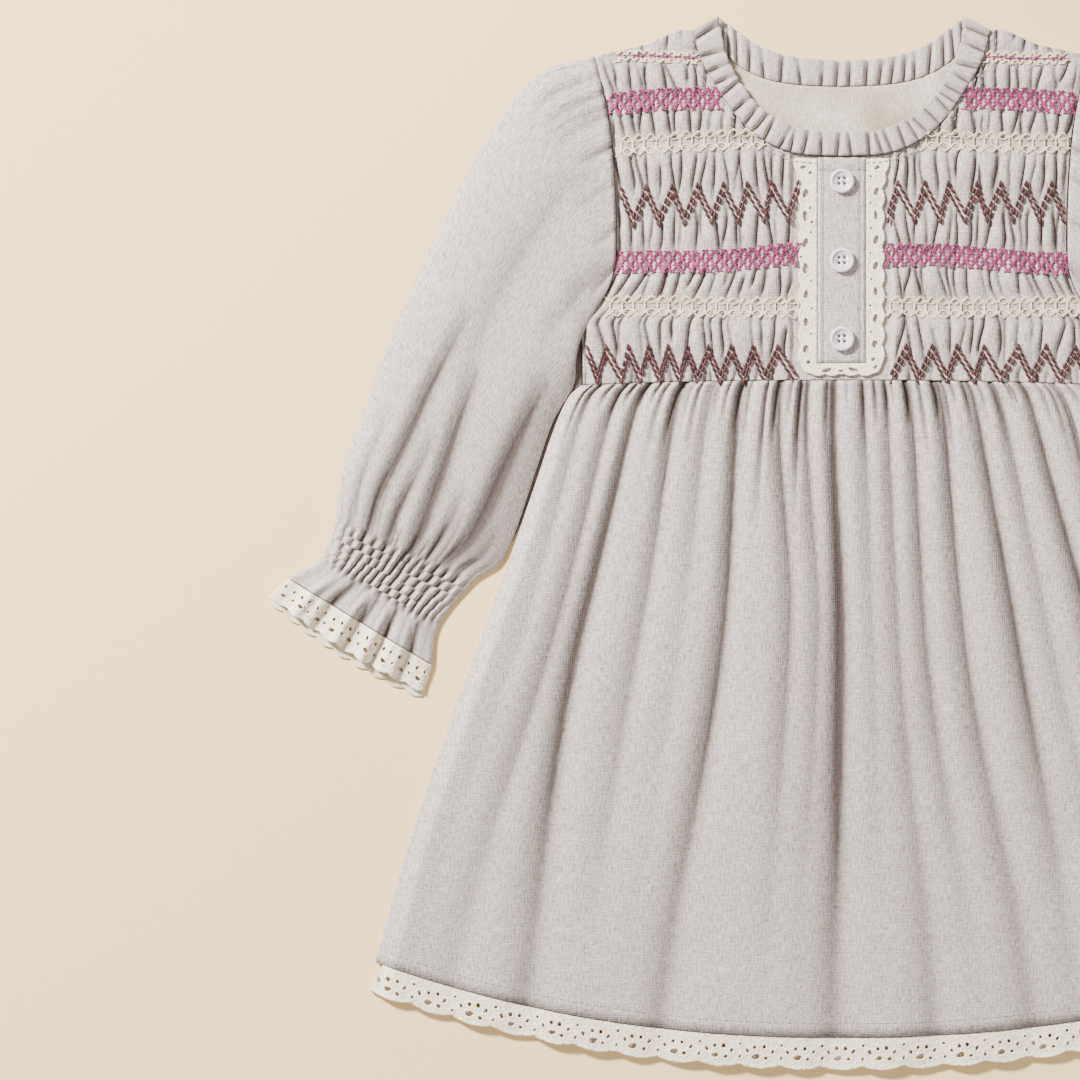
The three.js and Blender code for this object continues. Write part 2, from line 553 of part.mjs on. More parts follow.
function cuffLace(side) {
  const COLUMNS = 4 * CUFF_SCALLOPS;
  const edge = Object.fromEntries(
    ["outX", "outY", "inX", "inY"].map((key) => [key, smooth(CUFF_LACE, "s", key)]),
  );
  const place = (s, t, z) => {
    const scallop = Math.abs(Math.sin(Math.PI * CUFF_SCALLOPS * t));
    const bulge = s * (CUFF_LACE_BULGE * Math.sin(Math.PI * t) + scallop);
    const x = lerp(edge.outX(s), edge.inX(s), t) + DOWN_THE_ARM.x * bulge;
    const y = lerp(edge.outY(s), edge.inY(s), t) + DOWN_THE_ARM.y * bulge;
    return [side * x, y, z];
  };
  const upper = (s, t) => sleeveTop(FLOUNCE_TO, t) - CUFF_LACE_SINK * s * sleeveDome(t);
  const row = (s) => ({
    top: steps(COLUMNS).map((t) => place(s, t, upper(s, t))),
    under: steps(COLUMNS / 2).map((t) => place(s, t, 0)),
  });
  const inner = (s) => {
    const across = steps(COLUMNS / 2).map((t) => lerp(HOLLOW_INSET, 1 - HOLLOW_INSET, t));
    return {
      top: across.map((t) => place(s, t, Math.max(upper(s, t) - LACE - GAP, LACE + GAP))),
      under: across.map((t) => place(s, t, LACE)),
    };
  };
  return cloth([row(0), row(0.5), row(1)], [inner(0), inner(1)]);
}

// A run of scallops between two points: each bows out by SCALLOP.deep along the outward direction.
function scallops(from, to, outward) {
  const length = Math.hypot(to[0] - from[0], to[1] - from[1]);
  const count = Math.max(1, Math.round(length / SCALLOP.pitch));
  return steps(count * 4).slice(0, -1).map((t) => {
    const bow = SCALLOP.deep * Math.abs(Math.sin(Math.PI * count * t));
    return [lerp(from[0], to[0], t) + bow * outward[0], lerp(from[1], to[1], t) + bow * outward[1]];
  });
}

function placketLace() {
  const { half, foot: low, flare, flareFrom, corner } = PLACKET_LACE;
  const inner = PLACKET.half + GAP;
  const top = PLACKET.top - GAP;
  const right = [
    [0, low],
    ...scallops([1, low], [half - corner, low], [0, -1]),
    ...scallops([half - corner, low], [half, low + corner], [0.7, -0.7]),
    ...scallops([half, low + corner], [half, flareFrom], [1, 0]),
    ...scallops([half, flareFrom], [flare, top], [1, 0]),
    [flare, top],
    [inner, top],
    [inner, PLACKET.foot - GAP],
    [0, PLACKET.foot - GAP],
  ];
  return flat(bothHalves(right), BODICE_FOOT + GAP, LACE);
}

function placket() {
  const { half, top, foot: low, thick } = PLACKET;
  return flat([[-half, low], [half, low], [half, top], [-half, top]], BODICE_FOOT + GAP, thick);
}

function button(y) {
  const { radius, rim, well, wellRadius, hole, holeAt } = BUTTON;
  const SIDES = 16;
  const profile = [
    [0, 0],
    [radius - 0.5, 0],
    [radius, 0.7],
    [radius, rim - 0.6],
    [radius - 0.6, rim],
    [radius - 1.2, rim],
    [wellRadius, well],
    [0, well],
  ].map(([r, z]) => new THREE.Vector2(r, z));
  const disc = new THREE.LatheGeometry(profile, SIDES).rotateX(Math.PI / 2);
  let solid = asManifold(disc);
  for (const [x, side] of [[-1, -1], [1, -1], [-1, 1], [1, 1]]) {
    const drill = new THREE.CylinderGeometry(hole, hole, 4 * rim, 6).rotateX(Math.PI / 2);
    solid = solid.subtract(asManifold(drill.translate(x * holeAt, side * holeAt, 0)));
  }
  return fromManifold(solid).translate(0, y, BODICE_FOOT + 2 * GAP + PLACKET.thick);
}

// A point of the hem lace: u across the skirt, d from its seam (0) to its scalloped edge (1).
function hemLacePoint(u, d) {
  const { deep, deepMore, scallop, flare, count } = HEM_LACE;
  const bow = scallop * Math.abs(Math.sin((Math.PI * count * (u + 1)) / 2));
  const drop = GAP + d * (deep + deepMore * (1 - Math.abs(u)) + bow);
  return [u * (skirtWidth(0) + d * flare), hemAt(u) - drop];
}

function frontHemLace() {
  const COLUMNS = 3 * HEM_LACE.count;
  const row = (d) => {
    const us = steps(COLUMNS).map((t) => 2 * t - 1);
    const high = (u) => Math.max(skirtTop(u, 0) - HEM_LACE.below - HEM_LACE.sink * d, LAYER + LACE);
    const top = us.map((u) => [...hemLacePoint(u, d), high(u)]);
    const under = us.map((u) => [...hemLacePoint(u, d), high(u) - LACE]);
    return { top, under };
  };
  return cloth([row(1), row(0.5), row(0)]);
}

function backHemLace() {
  const COLUMNS = 3 * HEM_LACE.count;
  const edge = steps(COLUMNS).map((t) => hemLacePoint(2 * t - 1, 1));
  const seam = steps(24).map((t) => hemLacePoint(1 - 2 * t, 0));
  return flat([...edge, ...seam], 0, BACK);
}

add("skirt_back", backSkirt(), "linen");
add("skirt_front", frontSkirt(), "linen");
add("bodice_back", flat(bodiceOutline(BACK_NECK), 0, BACK), "linen");
add("bodice_front", frontBodice(), "linen");
add("lining_back", backLining(), "gauze");
add("neck_ruffle_front", ruffle(FRONT_NECK, FRONT_GATHERS, RUFFLE_FRONT_Z), "linen");
add("neck_ruffle_back", ruffle(BACK_NECK, BACK_GATHERS, RUFFLE_BACK_Z), "linen");
add("placket", placket(), "linen");
add("placket_lace", placketLace(), "lace");
BUTTON_ROWS.forEach((y, i) => add("button_" + (i + 1), button(y), "button"));
add("sleeve_left", sleeve(-1), "linen");
add("sleeve_right", sleeve(1), "linen");
add("cuff_lace_left", cuffLace(-1), "lace");
add("cuff_lace_right", cuffLace(1), "lace");
add("hem_lace_front", frontHemLace(), "lace");
add("hem_lace_back", backHemLace(), "lace");

export default dress;
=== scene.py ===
# %% [markdown]
# # A smocked dress, laid flat
# This lesson builds the looks of a toddler's linen dress around a fixed frame of plain solids.
# Every piece of cloth is a thin shell worked out by a function of the dress's own sizes, in
# millimetres, so that each fold can be placed one by one and seams stay where the frame has them.

import bpy
import numpy as np
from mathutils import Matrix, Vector
from mathutils.geometry import delaunay_2d_cdt


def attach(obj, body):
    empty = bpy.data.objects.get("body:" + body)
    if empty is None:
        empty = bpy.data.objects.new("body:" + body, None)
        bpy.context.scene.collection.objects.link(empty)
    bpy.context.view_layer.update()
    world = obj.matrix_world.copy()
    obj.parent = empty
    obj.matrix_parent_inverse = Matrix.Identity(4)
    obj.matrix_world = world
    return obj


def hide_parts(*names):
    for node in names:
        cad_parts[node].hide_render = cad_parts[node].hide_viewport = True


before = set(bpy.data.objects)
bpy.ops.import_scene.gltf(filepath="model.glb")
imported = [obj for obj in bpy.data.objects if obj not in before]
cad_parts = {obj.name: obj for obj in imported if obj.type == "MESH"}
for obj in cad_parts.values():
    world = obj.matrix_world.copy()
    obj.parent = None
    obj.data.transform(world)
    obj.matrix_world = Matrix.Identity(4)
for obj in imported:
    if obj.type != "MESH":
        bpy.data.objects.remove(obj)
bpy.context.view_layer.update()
print("frame nodes:", len(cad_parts))

# %% [markdown]
# ## Camera, light and floor
# The dress is seen from straight above through a long lens, and the picture's right edge crops
# it. One broad light stands at the upper left, so folds are shaded towards the lower right, and
# a pale surround keeps the shadows soft.

# %% Camera, light and floor
MM = 0.001
VIEW_CENTRE = (-138.5, 1.4)  # mm, the place on the dress under the middle of the picture
VIEW_WIDTH = 496.8  # mm across the picture
CAMERA_HEIGHT = 2.2  # metres
SENSOR = 36.0


def srgb(code):
    """A hex colour as the linear values that shaders take."""
    parts = [int(code[i : i + 2], 16) / 255 for i in (1, 3, 5)]
    return [c / 12.92 if c <= 0.04045 else ((c + 0.055) / 1.055) ** 2.4 for c in parts] + [1.0]


def add_node(tree, kind, inputs=None, **settings):
    """Adds a node. Inputs map a socket's name or number to a value, an output or a node."""
    node = tree.nodes.new(kind)
    for key, value in settings.items():
        setattr(node, key, value)
    for key, value in (inputs or {}).items():
        if isinstance(value, bpy.types.Node):
            value = next(socket for socket in value.outputs if socket.enabled)
        if isinstance(value, bpy.types.NodeSocket):
            tree.links.new(value, node.inputs[key])
        else:
            node.inputs[key].default_value = value
    return node


def add_camera():
    data = bpy.data.cameras.new("camera")
    data.sensor_width = SENSOR
    data.lens = SENSOR * CAMERA_HEIGHT / (VIEW_WIDTH * MM)
    camera = bpy.data.objects.new("camera", data)
    camera.location = (VIEW_CENTRE[0] * MM, VIEW_CENTRE[1] * MM, CAMERA_HEIGHT)
    bpy.context.scene.collection.objects.link(camera)
    bpy.context.scene.camera = camera


def add_area_light(name, place, size, watts, aim=(0.0, 0.0, 0.0)):
    data = bpy.data.lights.new(name, "AREA")
    data.shape = "DISK"
    data.size = size
    data.energy = watts
    light = bpy.data.objects.new(name, data)
    light.location = place
    light.rotation_euler = (Vector(aim) - Vector(place)).to_track_quat("-Z", "Y").to_euler()
    bpy.context.scene.collection.objects.link(light)


def add_surround(colour, strength):
    world = bpy.data.worlds.new("surround")
    bpy.context.scene.world = world
    world.use_nodes = True
    background = world.node_tree.nodes["Background"]
    background.inputs["Color"].default_value = srgb(colour)
    background.inputs["Strength"].default_value = strength


add_camera()
add_area_light("key_upper_left", (-1.5, 1.35, 1.3), 0.42, 238.0, aim=(-0.1, 0.0, 0.0))
add_area_light("fill_lower_right", (1.3, -1.2, 1.8), 1.6, 20.0)
add_surround("#FFFBF5", 0.52)
print("camera", VIEW_WIDTH, "mm wide view")

# %% [markdown]
# ## Cloth as a material
# The dress is a heathered linen and cotton plain weave. The eye reads it by its slubs: short
# thick places in the yarn, along and across the cloth. Two stretched noises make them and a
# third one mottles the yarn, in the cloth's own UV coordinates (in metres), and a pair of waves
# makes the weave. The real thread spacing of about 0.45 mm is finer than a pixel of the
# picture, so it is drawn at 0.9 mm. A `painted_fold_shade` attribute, worked out with each
# surface, paints shade into the colour inside creases and hollows.

# %% Cloth materials
SLUB_WIDE, SLUB_LONG = 0.6, 4.6  # mm
WEAVE_PITCH = 0.9 * MM
WAVE_PERIOD = 0.3142  # period of a wave texture at scale 1


def new_material(name):
    material = bpy.data.materials.new(name)
    material.use_nodes = True
    material.node_tree.nodes.clear()
    return material, material.node_tree


def noise_at(tree, place, wide, tall=None, detail=2.0):
    """Noise with features of a size in mm: wide along x, and tall along y where that differs."""
    across, along = 1 / (wide * MM), 1 / ((tall or wide) * MM)
    place = add_node(tree, "ShaderNodeMapping", {"Vector": place, "Scale": (across, along, across)})
    return add_node(tree, "ShaderNodeTexNoise", {"Vector": place, "Scale": 1.0, "Detail": detail})


def layered(tree, colour, *layers):
    """Colours laid over each other: each layer is a share and the colour that it brings."""
    for share, over in layers:
        inputs = {0: share, 6: colour, 7: over}  # the colour sockets of a mix
        colour = add_node(tree, "ShaderNodeMix", inputs, data_type="RGBA")
    return colour


def finish_material(material, colour, roughness, specular=0.5, sheen=0.0, bump=None):
    """Joins the colour to the surface. A bump is a height, its strength and its depth in mm."""
    tree = material.node_tree
    inputs = {"Base Color": colour, "Roughness": roughness, "Sheen Weight": sheen}
    inputs["Specular IOR Level"] = specular
    if bump:
        relief = {"Height": bump[0], "Strength": bump[1], "Distance": bump[2] * MM}
        inputs["Normal"] = add_node(tree, "ShaderNodeBump", relief)
    shader = add_node(tree, "ShaderNodeBsdfPrincipled", inputs)
    add_node(tree, "ShaderNodeOutputMaterial", {"Surface": shader})
    return material


def fold_shade(tree):
    return add_node(tree, "ShaderNodeAttribute", attribute_name="painted_fold_shade").outputs["Fac"]


def woven_cloth(name, ground, light, dark, painted_shade_colour, slub, cloudy=0.1):
    """A plain weave with slubs: colours of the ground, light and dark yarns, and the painted shade
    in folds.
    """
    material, tree = new_material(name)
    light, dark = srgb(light), srgb(dark)
    place = add_node(tree, "ShaderNodeUVMap", uv_map="cloth")
    mottle = noise_at(tree, place, 1.2, 1.4, detail=3.0)
    across = noise_at(tree, place, SLUB_LONG, SLUB_WIDE)
    along = noise_at(tree, place, SLUB_WIDE, SLUB_LONG)
    yarns = 0.0
    for yarn, share in ((mottle, 0.28), (across, 0.28), (along, 0.44)):
        parts = {0: yarn, 1: share, 2: yarns}
        yarns = add_node(tree, "ShaderNodeMath", parts, operation="MULTIPLY_ADD")
    yarn, cloud, speck = (
        add_node(
            tree,
            "ShaderNodeMapRange",
            {"Value": value, "From Min": low, "From Max": high, "To Max": most},
        )
        for value, low, high, most in (
            (yarns, 0.36, 0.64, 1.0),
            (noise_at(tree, place, 26, 34), 0.3, 0.7, cloudy),
            (noise_at(tree, place, 1.5, detail=1.0), 0.6, 0.75, 0.35),
        )
    )
    yarn = layered(tree, dark, (yarn, light))
    # The last layer is painted shade: the colour darkens where the point's shade value is high.
    layers = (slub, yarn), (cloud, dark), (speck, light), (fold_shade(tree), srgb(painted_shade_colour))
    colour = layered(tree, srgb(ground), *layers)
    relief = 0.0
    for axis in ("X", "Y"):
        size = {"Vector": place, "Scale": WAVE_PERIOD / WEAVE_PITCH, "Distortion": 1.2}
        weave = add_node(tree, "ShaderNodeTexWave", size, bands_direction=axis).outputs["Fac"]
        parts = {0: weave, 1: 0.3, 2: relief}
        relief = add_node(tree, "ShaderNodeMath", parts, operation="MULTIPLY_ADD")
    parts = {0: yarns, 1: 5.0, 2: relief}
    relief = add_node(tree, "ShaderNodeMath", parts, operation="MULTIPLY_ADD")
    return finish_material(material, colour, 0.92, 0.25, 0.12, (relief, 0.8, 0.15))


# The fourth colour of each cloth is its painted shade in folds.
linen = woven_cloth("heathered_linen_weave", "#B9A8A1", "#E2D6D0", "#87776F", "#3A2D26", 0.86)
gauze = woven_cloth("cream_cotton_gauze", "#DCCCBD", "#F0E6DA", "#A8957F", "#84786A", 0.85, 1.0)
print("cloth materials:", linen.name, gauze.name)

# %% [markdown]
# The lace is mercerised cotton, crocheted: a knobbly surface of loops about 1 mm across. Its
# colour is painted darker between the loops and in folds, as shade.
# Embroidery is stranded cotton with a slight sheen: a fine noise lights and shades its strands.
# The buttons are moulded, satin-smooth plastic with a faint lilac tint.

# %% Lace, thread and button materials


def on_object(name):
    material, tree = new_material(name)
    return material, tree, add_node(tree, "ShaderNodeTexCoord").outputs["Object"]


def crocheted_cotton(name, ground, shade, painted_shade_colour):
    material, tree, place = on_object(name)
    loops = add_node(tree, "ShaderNodeTexVoronoi", {"Vector": place, "Scale": 1 / (1.1 * MM)})
    knob = add_node(tree, "ShaderNodeMath", {0: 1.0, 1: loops}, operation="SUBTRACT")
    # Painted shade: the ground colour on the tops of the loops, the shade colour in the hollows
    # between them.
    deep = {"Value": knob, "From Min": 0.35, "From Max": 0.75}
    tint = {"Value": noise_at(tree, place, 2.4), "From Min": 0.45, "From Max": 0.7, "To Max": 0.3}
    deep, tint = (add_node(tree, "ShaderNodeMapRange", inputs) for inputs in (deep, tint))
    layers = (deep, srgb(ground)), (tint, srgb(shade)), (fold_shade(tree), srgb(painted_shade_colour))
    colour = layered(tree, srgb(shade), *layers)
    return finish_material(material, colour, 0.88, sheen=0.1, bump=(knob, 0.7, 0.3))


def stranded_cotton(name, ground, shade):
    material, tree, place = on_object(name)
    strands = noise_at(tree, place, 0.5, detail=1.0)
    parts = {0: strands, 1: noise_at(tree, place, 5)}
    both = add_node(tree, "ShaderNodeMath", parts, operation="ADD")
    share = add_node(tree, "ShaderNodeMapRange", {"Value": both, "From Min": 0.8, "From Max": 1.24})
    colour = layered(tree, srgb(shade), (share, srgb(ground)))
    return finish_material(material, colour, 0.6, sheen=0.15, bump=(strands, 0.5, 0.1))


def moulded_plastic(name, ground, shade):
    material, tree, place = on_object(name)
    colour = layered(tree, srgb(ground), (noise_at(tree, place, 4), srgb(shade)))
    return finish_material(material, colour, 0.38, bump=(noise_at(tree, place, 0.4), 0.15, 0.05))


def painted_floor(name, ground, shade):
    material, tree, place = on_object(name)
    parts = {0: noise_at(tree, place, 500), 1: 0.06}
    clouds = add_node(tree, "ShaderNodeMath", parts, operation="MULTIPLY")
    return finish_material(material, layered(tree, srgb(ground), (clouds, srgb(shade))), 0.95, 0.1)


# The second colour is painted shade between the loops and a random tint; the third is painted shade
# in folds.
crochet = crocheted_cotton("crocheted_cotton_lace", "#FFF6EA", "#E9D5B5", "#8D8171")
burgundy = stranded_cotton("burgundy_stranded_cotton", "#500914", "#2C0409")
pink = stranded_cotton("pink_stranded_cotton", "#AB3670", "#74194A")
cream = stranded_cotton("cream_stranded_cotton", "#FBEBCB", "#D9C39A")
sewing = stranded_cotton("grey_sewing_thread", "#B5ADA6", "#8E857D")
plastic = moulded_plastic("moulded_button_plastic", "#E6DADD", "#D8CBD0")
floor_paint = painted_floor("matt_cream_floor", "#F6D69F", "#EDC98D")

bpy.ops.mesh.primitive_plane_add(size=6.0, location=(0.0, 0.0, 0.0))
floor = bpy.context.active_object
floor.name = "floor"
floor.data.materials.append(floor_paint)
print("floor staged")

# %% [markdown]
# ## Sizes shared with the frame
# The same short tables give the outlines and folds as in the solids: the dress lies on z = 0
# with its neck towards +Y, and x is measured from the centre line. A smooth curve through a
# table's rows turns it into a function.

# %% Outline tables and smooth curves
GAP = 0.3  # between pieces at a seam, mm
LAYER = 1.5  # underside of what lies on the back panels, mm
BODICE_FOOT = 3.0  # outer face of the bodice at the foot of a pleat, mm
CLOTH = 0.7  # wall of a shell of cloth, mm
WAIST, WAIST_DROP = 75.0, 2.3
HEM, HEM_RISE, HEM_CURVE = -226.8, 34.6, 2.2


def smooth_curve(rows, source=0, target=1):
    """Column `target` of a table as a smooth function of column `source`."""
    table = sorted(rows, key=lambda row: row[source])
    xs = np.array([row[source] for row in table], float)
    ys = np.array([row[target] for row in table], float)
    ends = np.arange(len(xs))
    before, after = np.maximum(ends - 1, 0), np.minimum(ends + 1, len(xs) - 1)
    slopes = (ys[after] - ys[before]) / (xs[after] - xs[before])

    def at(value):
        value = np.clip(value, xs[0], xs[-1])
        i = np.clip(np.searchsorted(xs, value, side="right") - 1, 0, len(xs) - 2)
        span = xs[i + 1] - xs[i]
        t = (value - xs[i]) / span
        eased = t * t * (3 - 2 * t)
        bend = t * (1 - t) * span * ((1 - t) * slopes[i] - t * slopes[i + 1])
        return ys[i] * (1 - eased) + ys[i + 1] * eased + bend

    return at


def ease(value, start, end):
    """0 before start, 1 after end, and smooth between them."""
    t = np.clip((value - start) / (end - start), 0, 1)
    return t * t * (3 - 2 * t)


def lerp(a, b, t):
    return a + (b - a) * t


def bell(distance, width):
    return np.exp(-((distance / width) ** 2))


def xyz(*parts):
    """Coordinates joined into points. Numbers are repeated to the size of the arrays."""
    return np.stack(np.broadcast_arrays(*parts), -1)


# Columns: y, half width
skirt_side = smooth_curve(
    [
        (-192.2, 214.4), (-164.2, 206.5), (-128.5, 196.0), (-72.2, 176.2), (-37.0, 163.4),
        (-8.0, 152.9), (24.0, 141.7), (55.9, 130.7), (67.9, 124.7), (72.4, 119.7),
    ]
)
bodice_side = smooth_curve(
    [
        (72.0, 118.7), (88.8, 118.9), (96.0, 119.4), (101.9, 119.2), (112.5, 109.4), (125.1, 104.3),
        (144.2, 103.5), (165.3, 104.1), (190.6, 106.3), (214.9, 111.0), (223.7, 113.4),
    ]
)
# Columns: way from centre to shoulder, seam x, seam y, free edge x, free edge y
FRONT_NECK = [
    (0.0, 0.0, 177.6, 0.0, 188.8), (0.22, 21.2, 179.0, 18.2, 190.0),
    (0.4, 36.0, 185.0, 29.5, 194.8), (0.56, 47.5, 194.9, 40.0, 202.6),
    (0.72, 57.0, 208.6, 47.8, 213.9), (0.86, 64.4, 221.3, 53.2, 225.0),
    (1.0, 68.4, 235.3, 56.6, 241.9),
]
BACK_NECK = [
    (0.0, 0.0, 209.6, 0.0, 221.7), (0.33, 21.2, 210.7, 21.2, 223.4),
    (0.6, 36.9, 213.9, 38.0, 228.6), (0.84, 50.6, 221.3, 50.4, 237.4),
    (1.0, 59.0, 230.0, 56.4, 241.7),
]
# Columns: x, y of the top of the front bodice, from the centre out
bodice_head = smooth_curve(
    [(row[1], row[2]) for row in FRONT_NECK] + [(90.0, 229.0), (113.4, 223.7)]
)


def waist_at(u):
    return WAIST - WAIST_DROP * u * u


def hem_at(u):
    return HEM + HEM_RISE * np.abs(u) ** HEM_CURVE


def skirt_width(v):
    return skirt_side(lerp(-192.2, 72.4, v))


print("skirt half width at the hem, mm:", float(skirt_width(0.0)))

# %% [markdown]
# ## Turning grids of points into cloth
# Most panels are a grid of outer points. A shell needs a second grid, moved in by the cloth's
# thickness, and a strip of faces that joins the two along the edges, so the mesh is closed and
# its edges show the thickness. UVs hold the cloth's own coordinates in metres.

# %% Mesh helpers


def finish_mesh(name, points, faces, material, uv=None, painted_fold_shade=None):
    """A smooth-shaded mesh object from points in millimetres."""
    mesh = bpy.data.meshes.new(name)
    mesh.from_pydata((np.asarray(points) * MM).tolist(), [], [list(map(int, f)) for f in faces])
    mesh.materials.append(material)
    mesh.polygons.foreach_set("use_smooth", np.ones(len(mesh.polygons), bool))
    if uv is not None:
        corners = np.zeros(len(mesh.loops), np.int32)
        mesh.loops.foreach_get("vertex_index", corners)
        layer = mesh.uv_layers.new(name="cloth")
        layer.data.foreach_set("uv", (np.asarray(uv, float)[corners] * MM).ravel())
    # Painted shade per point, which the materials mix into the colour.
    if painted_fold_shade is not None:
        layer = mesh.attributes.new("painted_fold_shade", "FLOAT", "POINT")
        layer.data.foreach_set("value", np.asarray(painted_fold_shade, np.float32).ravel())
    mesh.update()
    piece = bpy.data.objects.new(name, mesh)
    bpy.context.scene.collection.objects.link(piece)
    return piece


def grid_normals(grid):
    """Unit normals of a grid whose columns run to the right and whose rows run up."""
    normal = np.cross(np.gradient(grid, axis=1), np.gradient(grid, axis=0))
    return normal / np.maximum(np.linalg.norm(normal, axis=2, keepdims=True), 1e-9)


def numbers_of(grid):
    return np.arange(grid.shape[0] * grid.shape[1]).reshape(grid.shape[:2])


def faces_of(number):
    """The faces of a grid of point numbers, anticlockwise from the outside."""
    a, b, c, d = number[:-1, :-1], number[:-1, 1:], number[1:, 1:], number[1:, :-1]
    return np.stack([a, b, c, d], -1).reshape(-1, 4)


def wall_mesh(outer, inner, around=False):
    """Points and faces of a closed wall between two grids. One that goes around has no sides."""
    number = numbers_of(outer)
    count = number.size
    if around:
        number = np.hstack([number, number[:, :1]])
    edges = [number[0], number[-1, ::-1]]
    if not around:
        edges += [number[::-1, 0], number[:, -1]]
    rims = [np.stack([e[:-1] + count, e[1:] + count, e[1:], e[:-1]], -1) for e in edges]
    front = faces_of(number)
    points = np.concatenate([outer.reshape(-1, 3), inner.reshape(-1, 3)])
    return points, np.concatenate([front, front[:, ::-1] + count, *rims])


def wall(name, outer, inner, material, uv, painted_fold_shade=None):
    both_uv = np.concatenate([uv.reshape(-1, 2)] * 2)
    both_shade = None if painted_fold_shade is None else np.concatenate([painted_fold_shade.ravel()] * 2)
    return finish_mesh(name, *wall_mesh(outer, inner), material, both_uv, both_shade)


def shell(name, outer, material, uv, painted_fold_shade, lowest):
    inner = outer - grid_normals(outer) * CLOTH
    inner[..., 2] = np.maximum(inner[..., 2], lowest)
    return wall(name, outer, inner, material, uv, painted_fold_shade)


def dress_up(piece, nodes=()):
    """Attaches a piece to the root body and hides the frame's solids that it stands for."""
    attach(piece, "root")
    if nodes:
        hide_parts(*nodes)
    print(piece.name, len(piece.data.polygons), "faces")


print("cloth:", CLOTH, "mm thick, underside of what lies on the back:", LAYER, "mm high")

# %% [markdown]
# ## The front skirt
# The skirt is one panel gathered at the waist. Its long folds keep nearly the same share of the
# half width from waist to hem, so each is one row of a table: where its foot lies and how deep
# it drops at the waist, the middle and the hem. Between them, short gathers of uneven length
# and depth leave the waist seam. Every trough is a soft bell curve, which is how gathered
# cloth sinks between two full, rounded crests.

# %% Front skirt
# Columns: share of the half width at waist, middle and hem, then the depth at each, mm
SKIRT_FOLDS = [
    (-0.92, -0.9, -0.93, 1.3, 0.6, 0.4), (-0.82, -0.81, -0.84, 1.9, 1.7, 0.9),
    (-0.735, -0.735, -0.68, 2.7, 3.2, 1.7), (-0.592, -0.575, -0.56, 2.5, 1.5, 0.2),
    (-0.48, -0.46, -0.47, 1.6, 0.5, 0.2), (-0.368, -0.338, -0.39, 3.0, 2.5, 1.6),
    (-0.225, -0.15, -0.17, 2.5, 1.7, 0.2), (-0.13, -0.07, -0.1, 2.2, 1.4, 0.3),
    (-0.03, 0.0, -0.016, 3.2, 3.9, 1.7), (0.08, 0.085, 0.09, 1.6, 0.8, 0.1),
    (0.16, 0.158, 0.2, 1.9, 1.5, 1.4), (0.25, 0.236, 0.3, 2.3, 1.9, 0.3),
    (0.361, 0.345, 0.41, 2.6, 2.0, 1.4), (0.48, 0.495, 0.51, 2.6, 2.5, 0.6),
    (0.575, 0.585, 0.63, 2.0, 1.0, 0.3), (0.68, 0.706, 0.72, 2.6, 2.6, 1.5),
    (0.8, 0.81, 0.83, 2.0, 1.3, 0.6), (0.915, 0.91, 0.93, 1.4, 0.7, 0.4),
]
skirt_rise = smooth_curve([(0.0, 5.6), (0.3, 6.8), (0.75, 8.0), (0.93, 7.4), (1.0, 5.9)])
FOLD_AT_WAIST, FOLD_AT_HEM = 0.024, 0.046  # how wide a fold is, as a share of the half width
FOLD_MIDDLE = 0.62  # where the middle column of the table lies between hem and waist
SIDE_ROLL = 0.955  # where the cloth starts to roll down to the side seam
GATHERS = 44


def between(hem, mid, waist, v):
    """Eases from the hem's value to the waist's by way of the middle's."""
    lower = lerp(hem, mid, ease(v, 0.0, FOLD_MIDDLE))
    return np.where(v < FOLD_MIDDLE, lower, lerp(mid, waist, ease(v, FOLD_MIDDLE, 1.0)))


def skirt_surface(u, v):
    """Outer height of the front skirt in mm, and how much painted shade each place gets."""
    drop, painted_shade = np.zeros_like(u), np.zeros_like(u)
    width = lerp(FOLD_AT_HEM, FOLD_AT_WAIST, v)
    for waist, mid, hem, at_waist, at_mid, at_hem in SKIRT_FOLDS:
        deep = between(at_hem, at_mid, at_waist, v)
        away = u - between(hem, mid, waist, v)
        drop += deep * bell(away, width)
        # Painted shade in each trough: broad and narrow darkening, moved towards its left flank,
        # which faces away from the light.
        painted_shade += 0.15 * deep * bell(away + 0.3 * width, 1.15 * width)
        painted_shade += 0.16 * deep * bell(away + 0.15 * width, 0.42 * width)
        painted_shade += 0.14 * deep * bell(away, 0.16 * width) * ease(v, 0.0, 0.7)
    return skirt_rise(v) - drop, painted_shade


def skirt_gathers(u, v):
    """Small gathers that leave the waist seam, each with its own place, length and depth, and
    painted shade in them.
    """
    random = np.random.default_rng(5)
    drop, painted_shade = np.zeros_like(u), np.zeros_like(u)
    for i in range(GATHERS):
        place = -0.985 + 1.97 * (i + 0.5 + random.uniform(-0.35, 0.35)) / GATHERS
        reach = random.choice([0.05, 0.09, 0.14, 0.26], p=[0.3, 0.35, 0.25, 0.1])
        deep = random.uniform(1.0, 2.6)
        lean = random.uniform(-0.04, 0.04)
        wide = random.uniform(0.006, 0.011)
        strength = ease(v, 1 - reach, 1 - 0.15 * reach)
        away = u - place - lean * (1 - v)
        drop += deep * strength * bell(away, wide + 0.035 * (1 - v))
        # Painted shade in each gather.
        painted_shade += 0.36 * deep * strength * bell(away, 0.45 * wide + 0.01 * (1 - v))
        painted_shade += 0.12 * deep * strength * bell(away + 0.3 * wide, 1.3 * wide + 0.03 * (1 - v))
    return drop, painted_shade


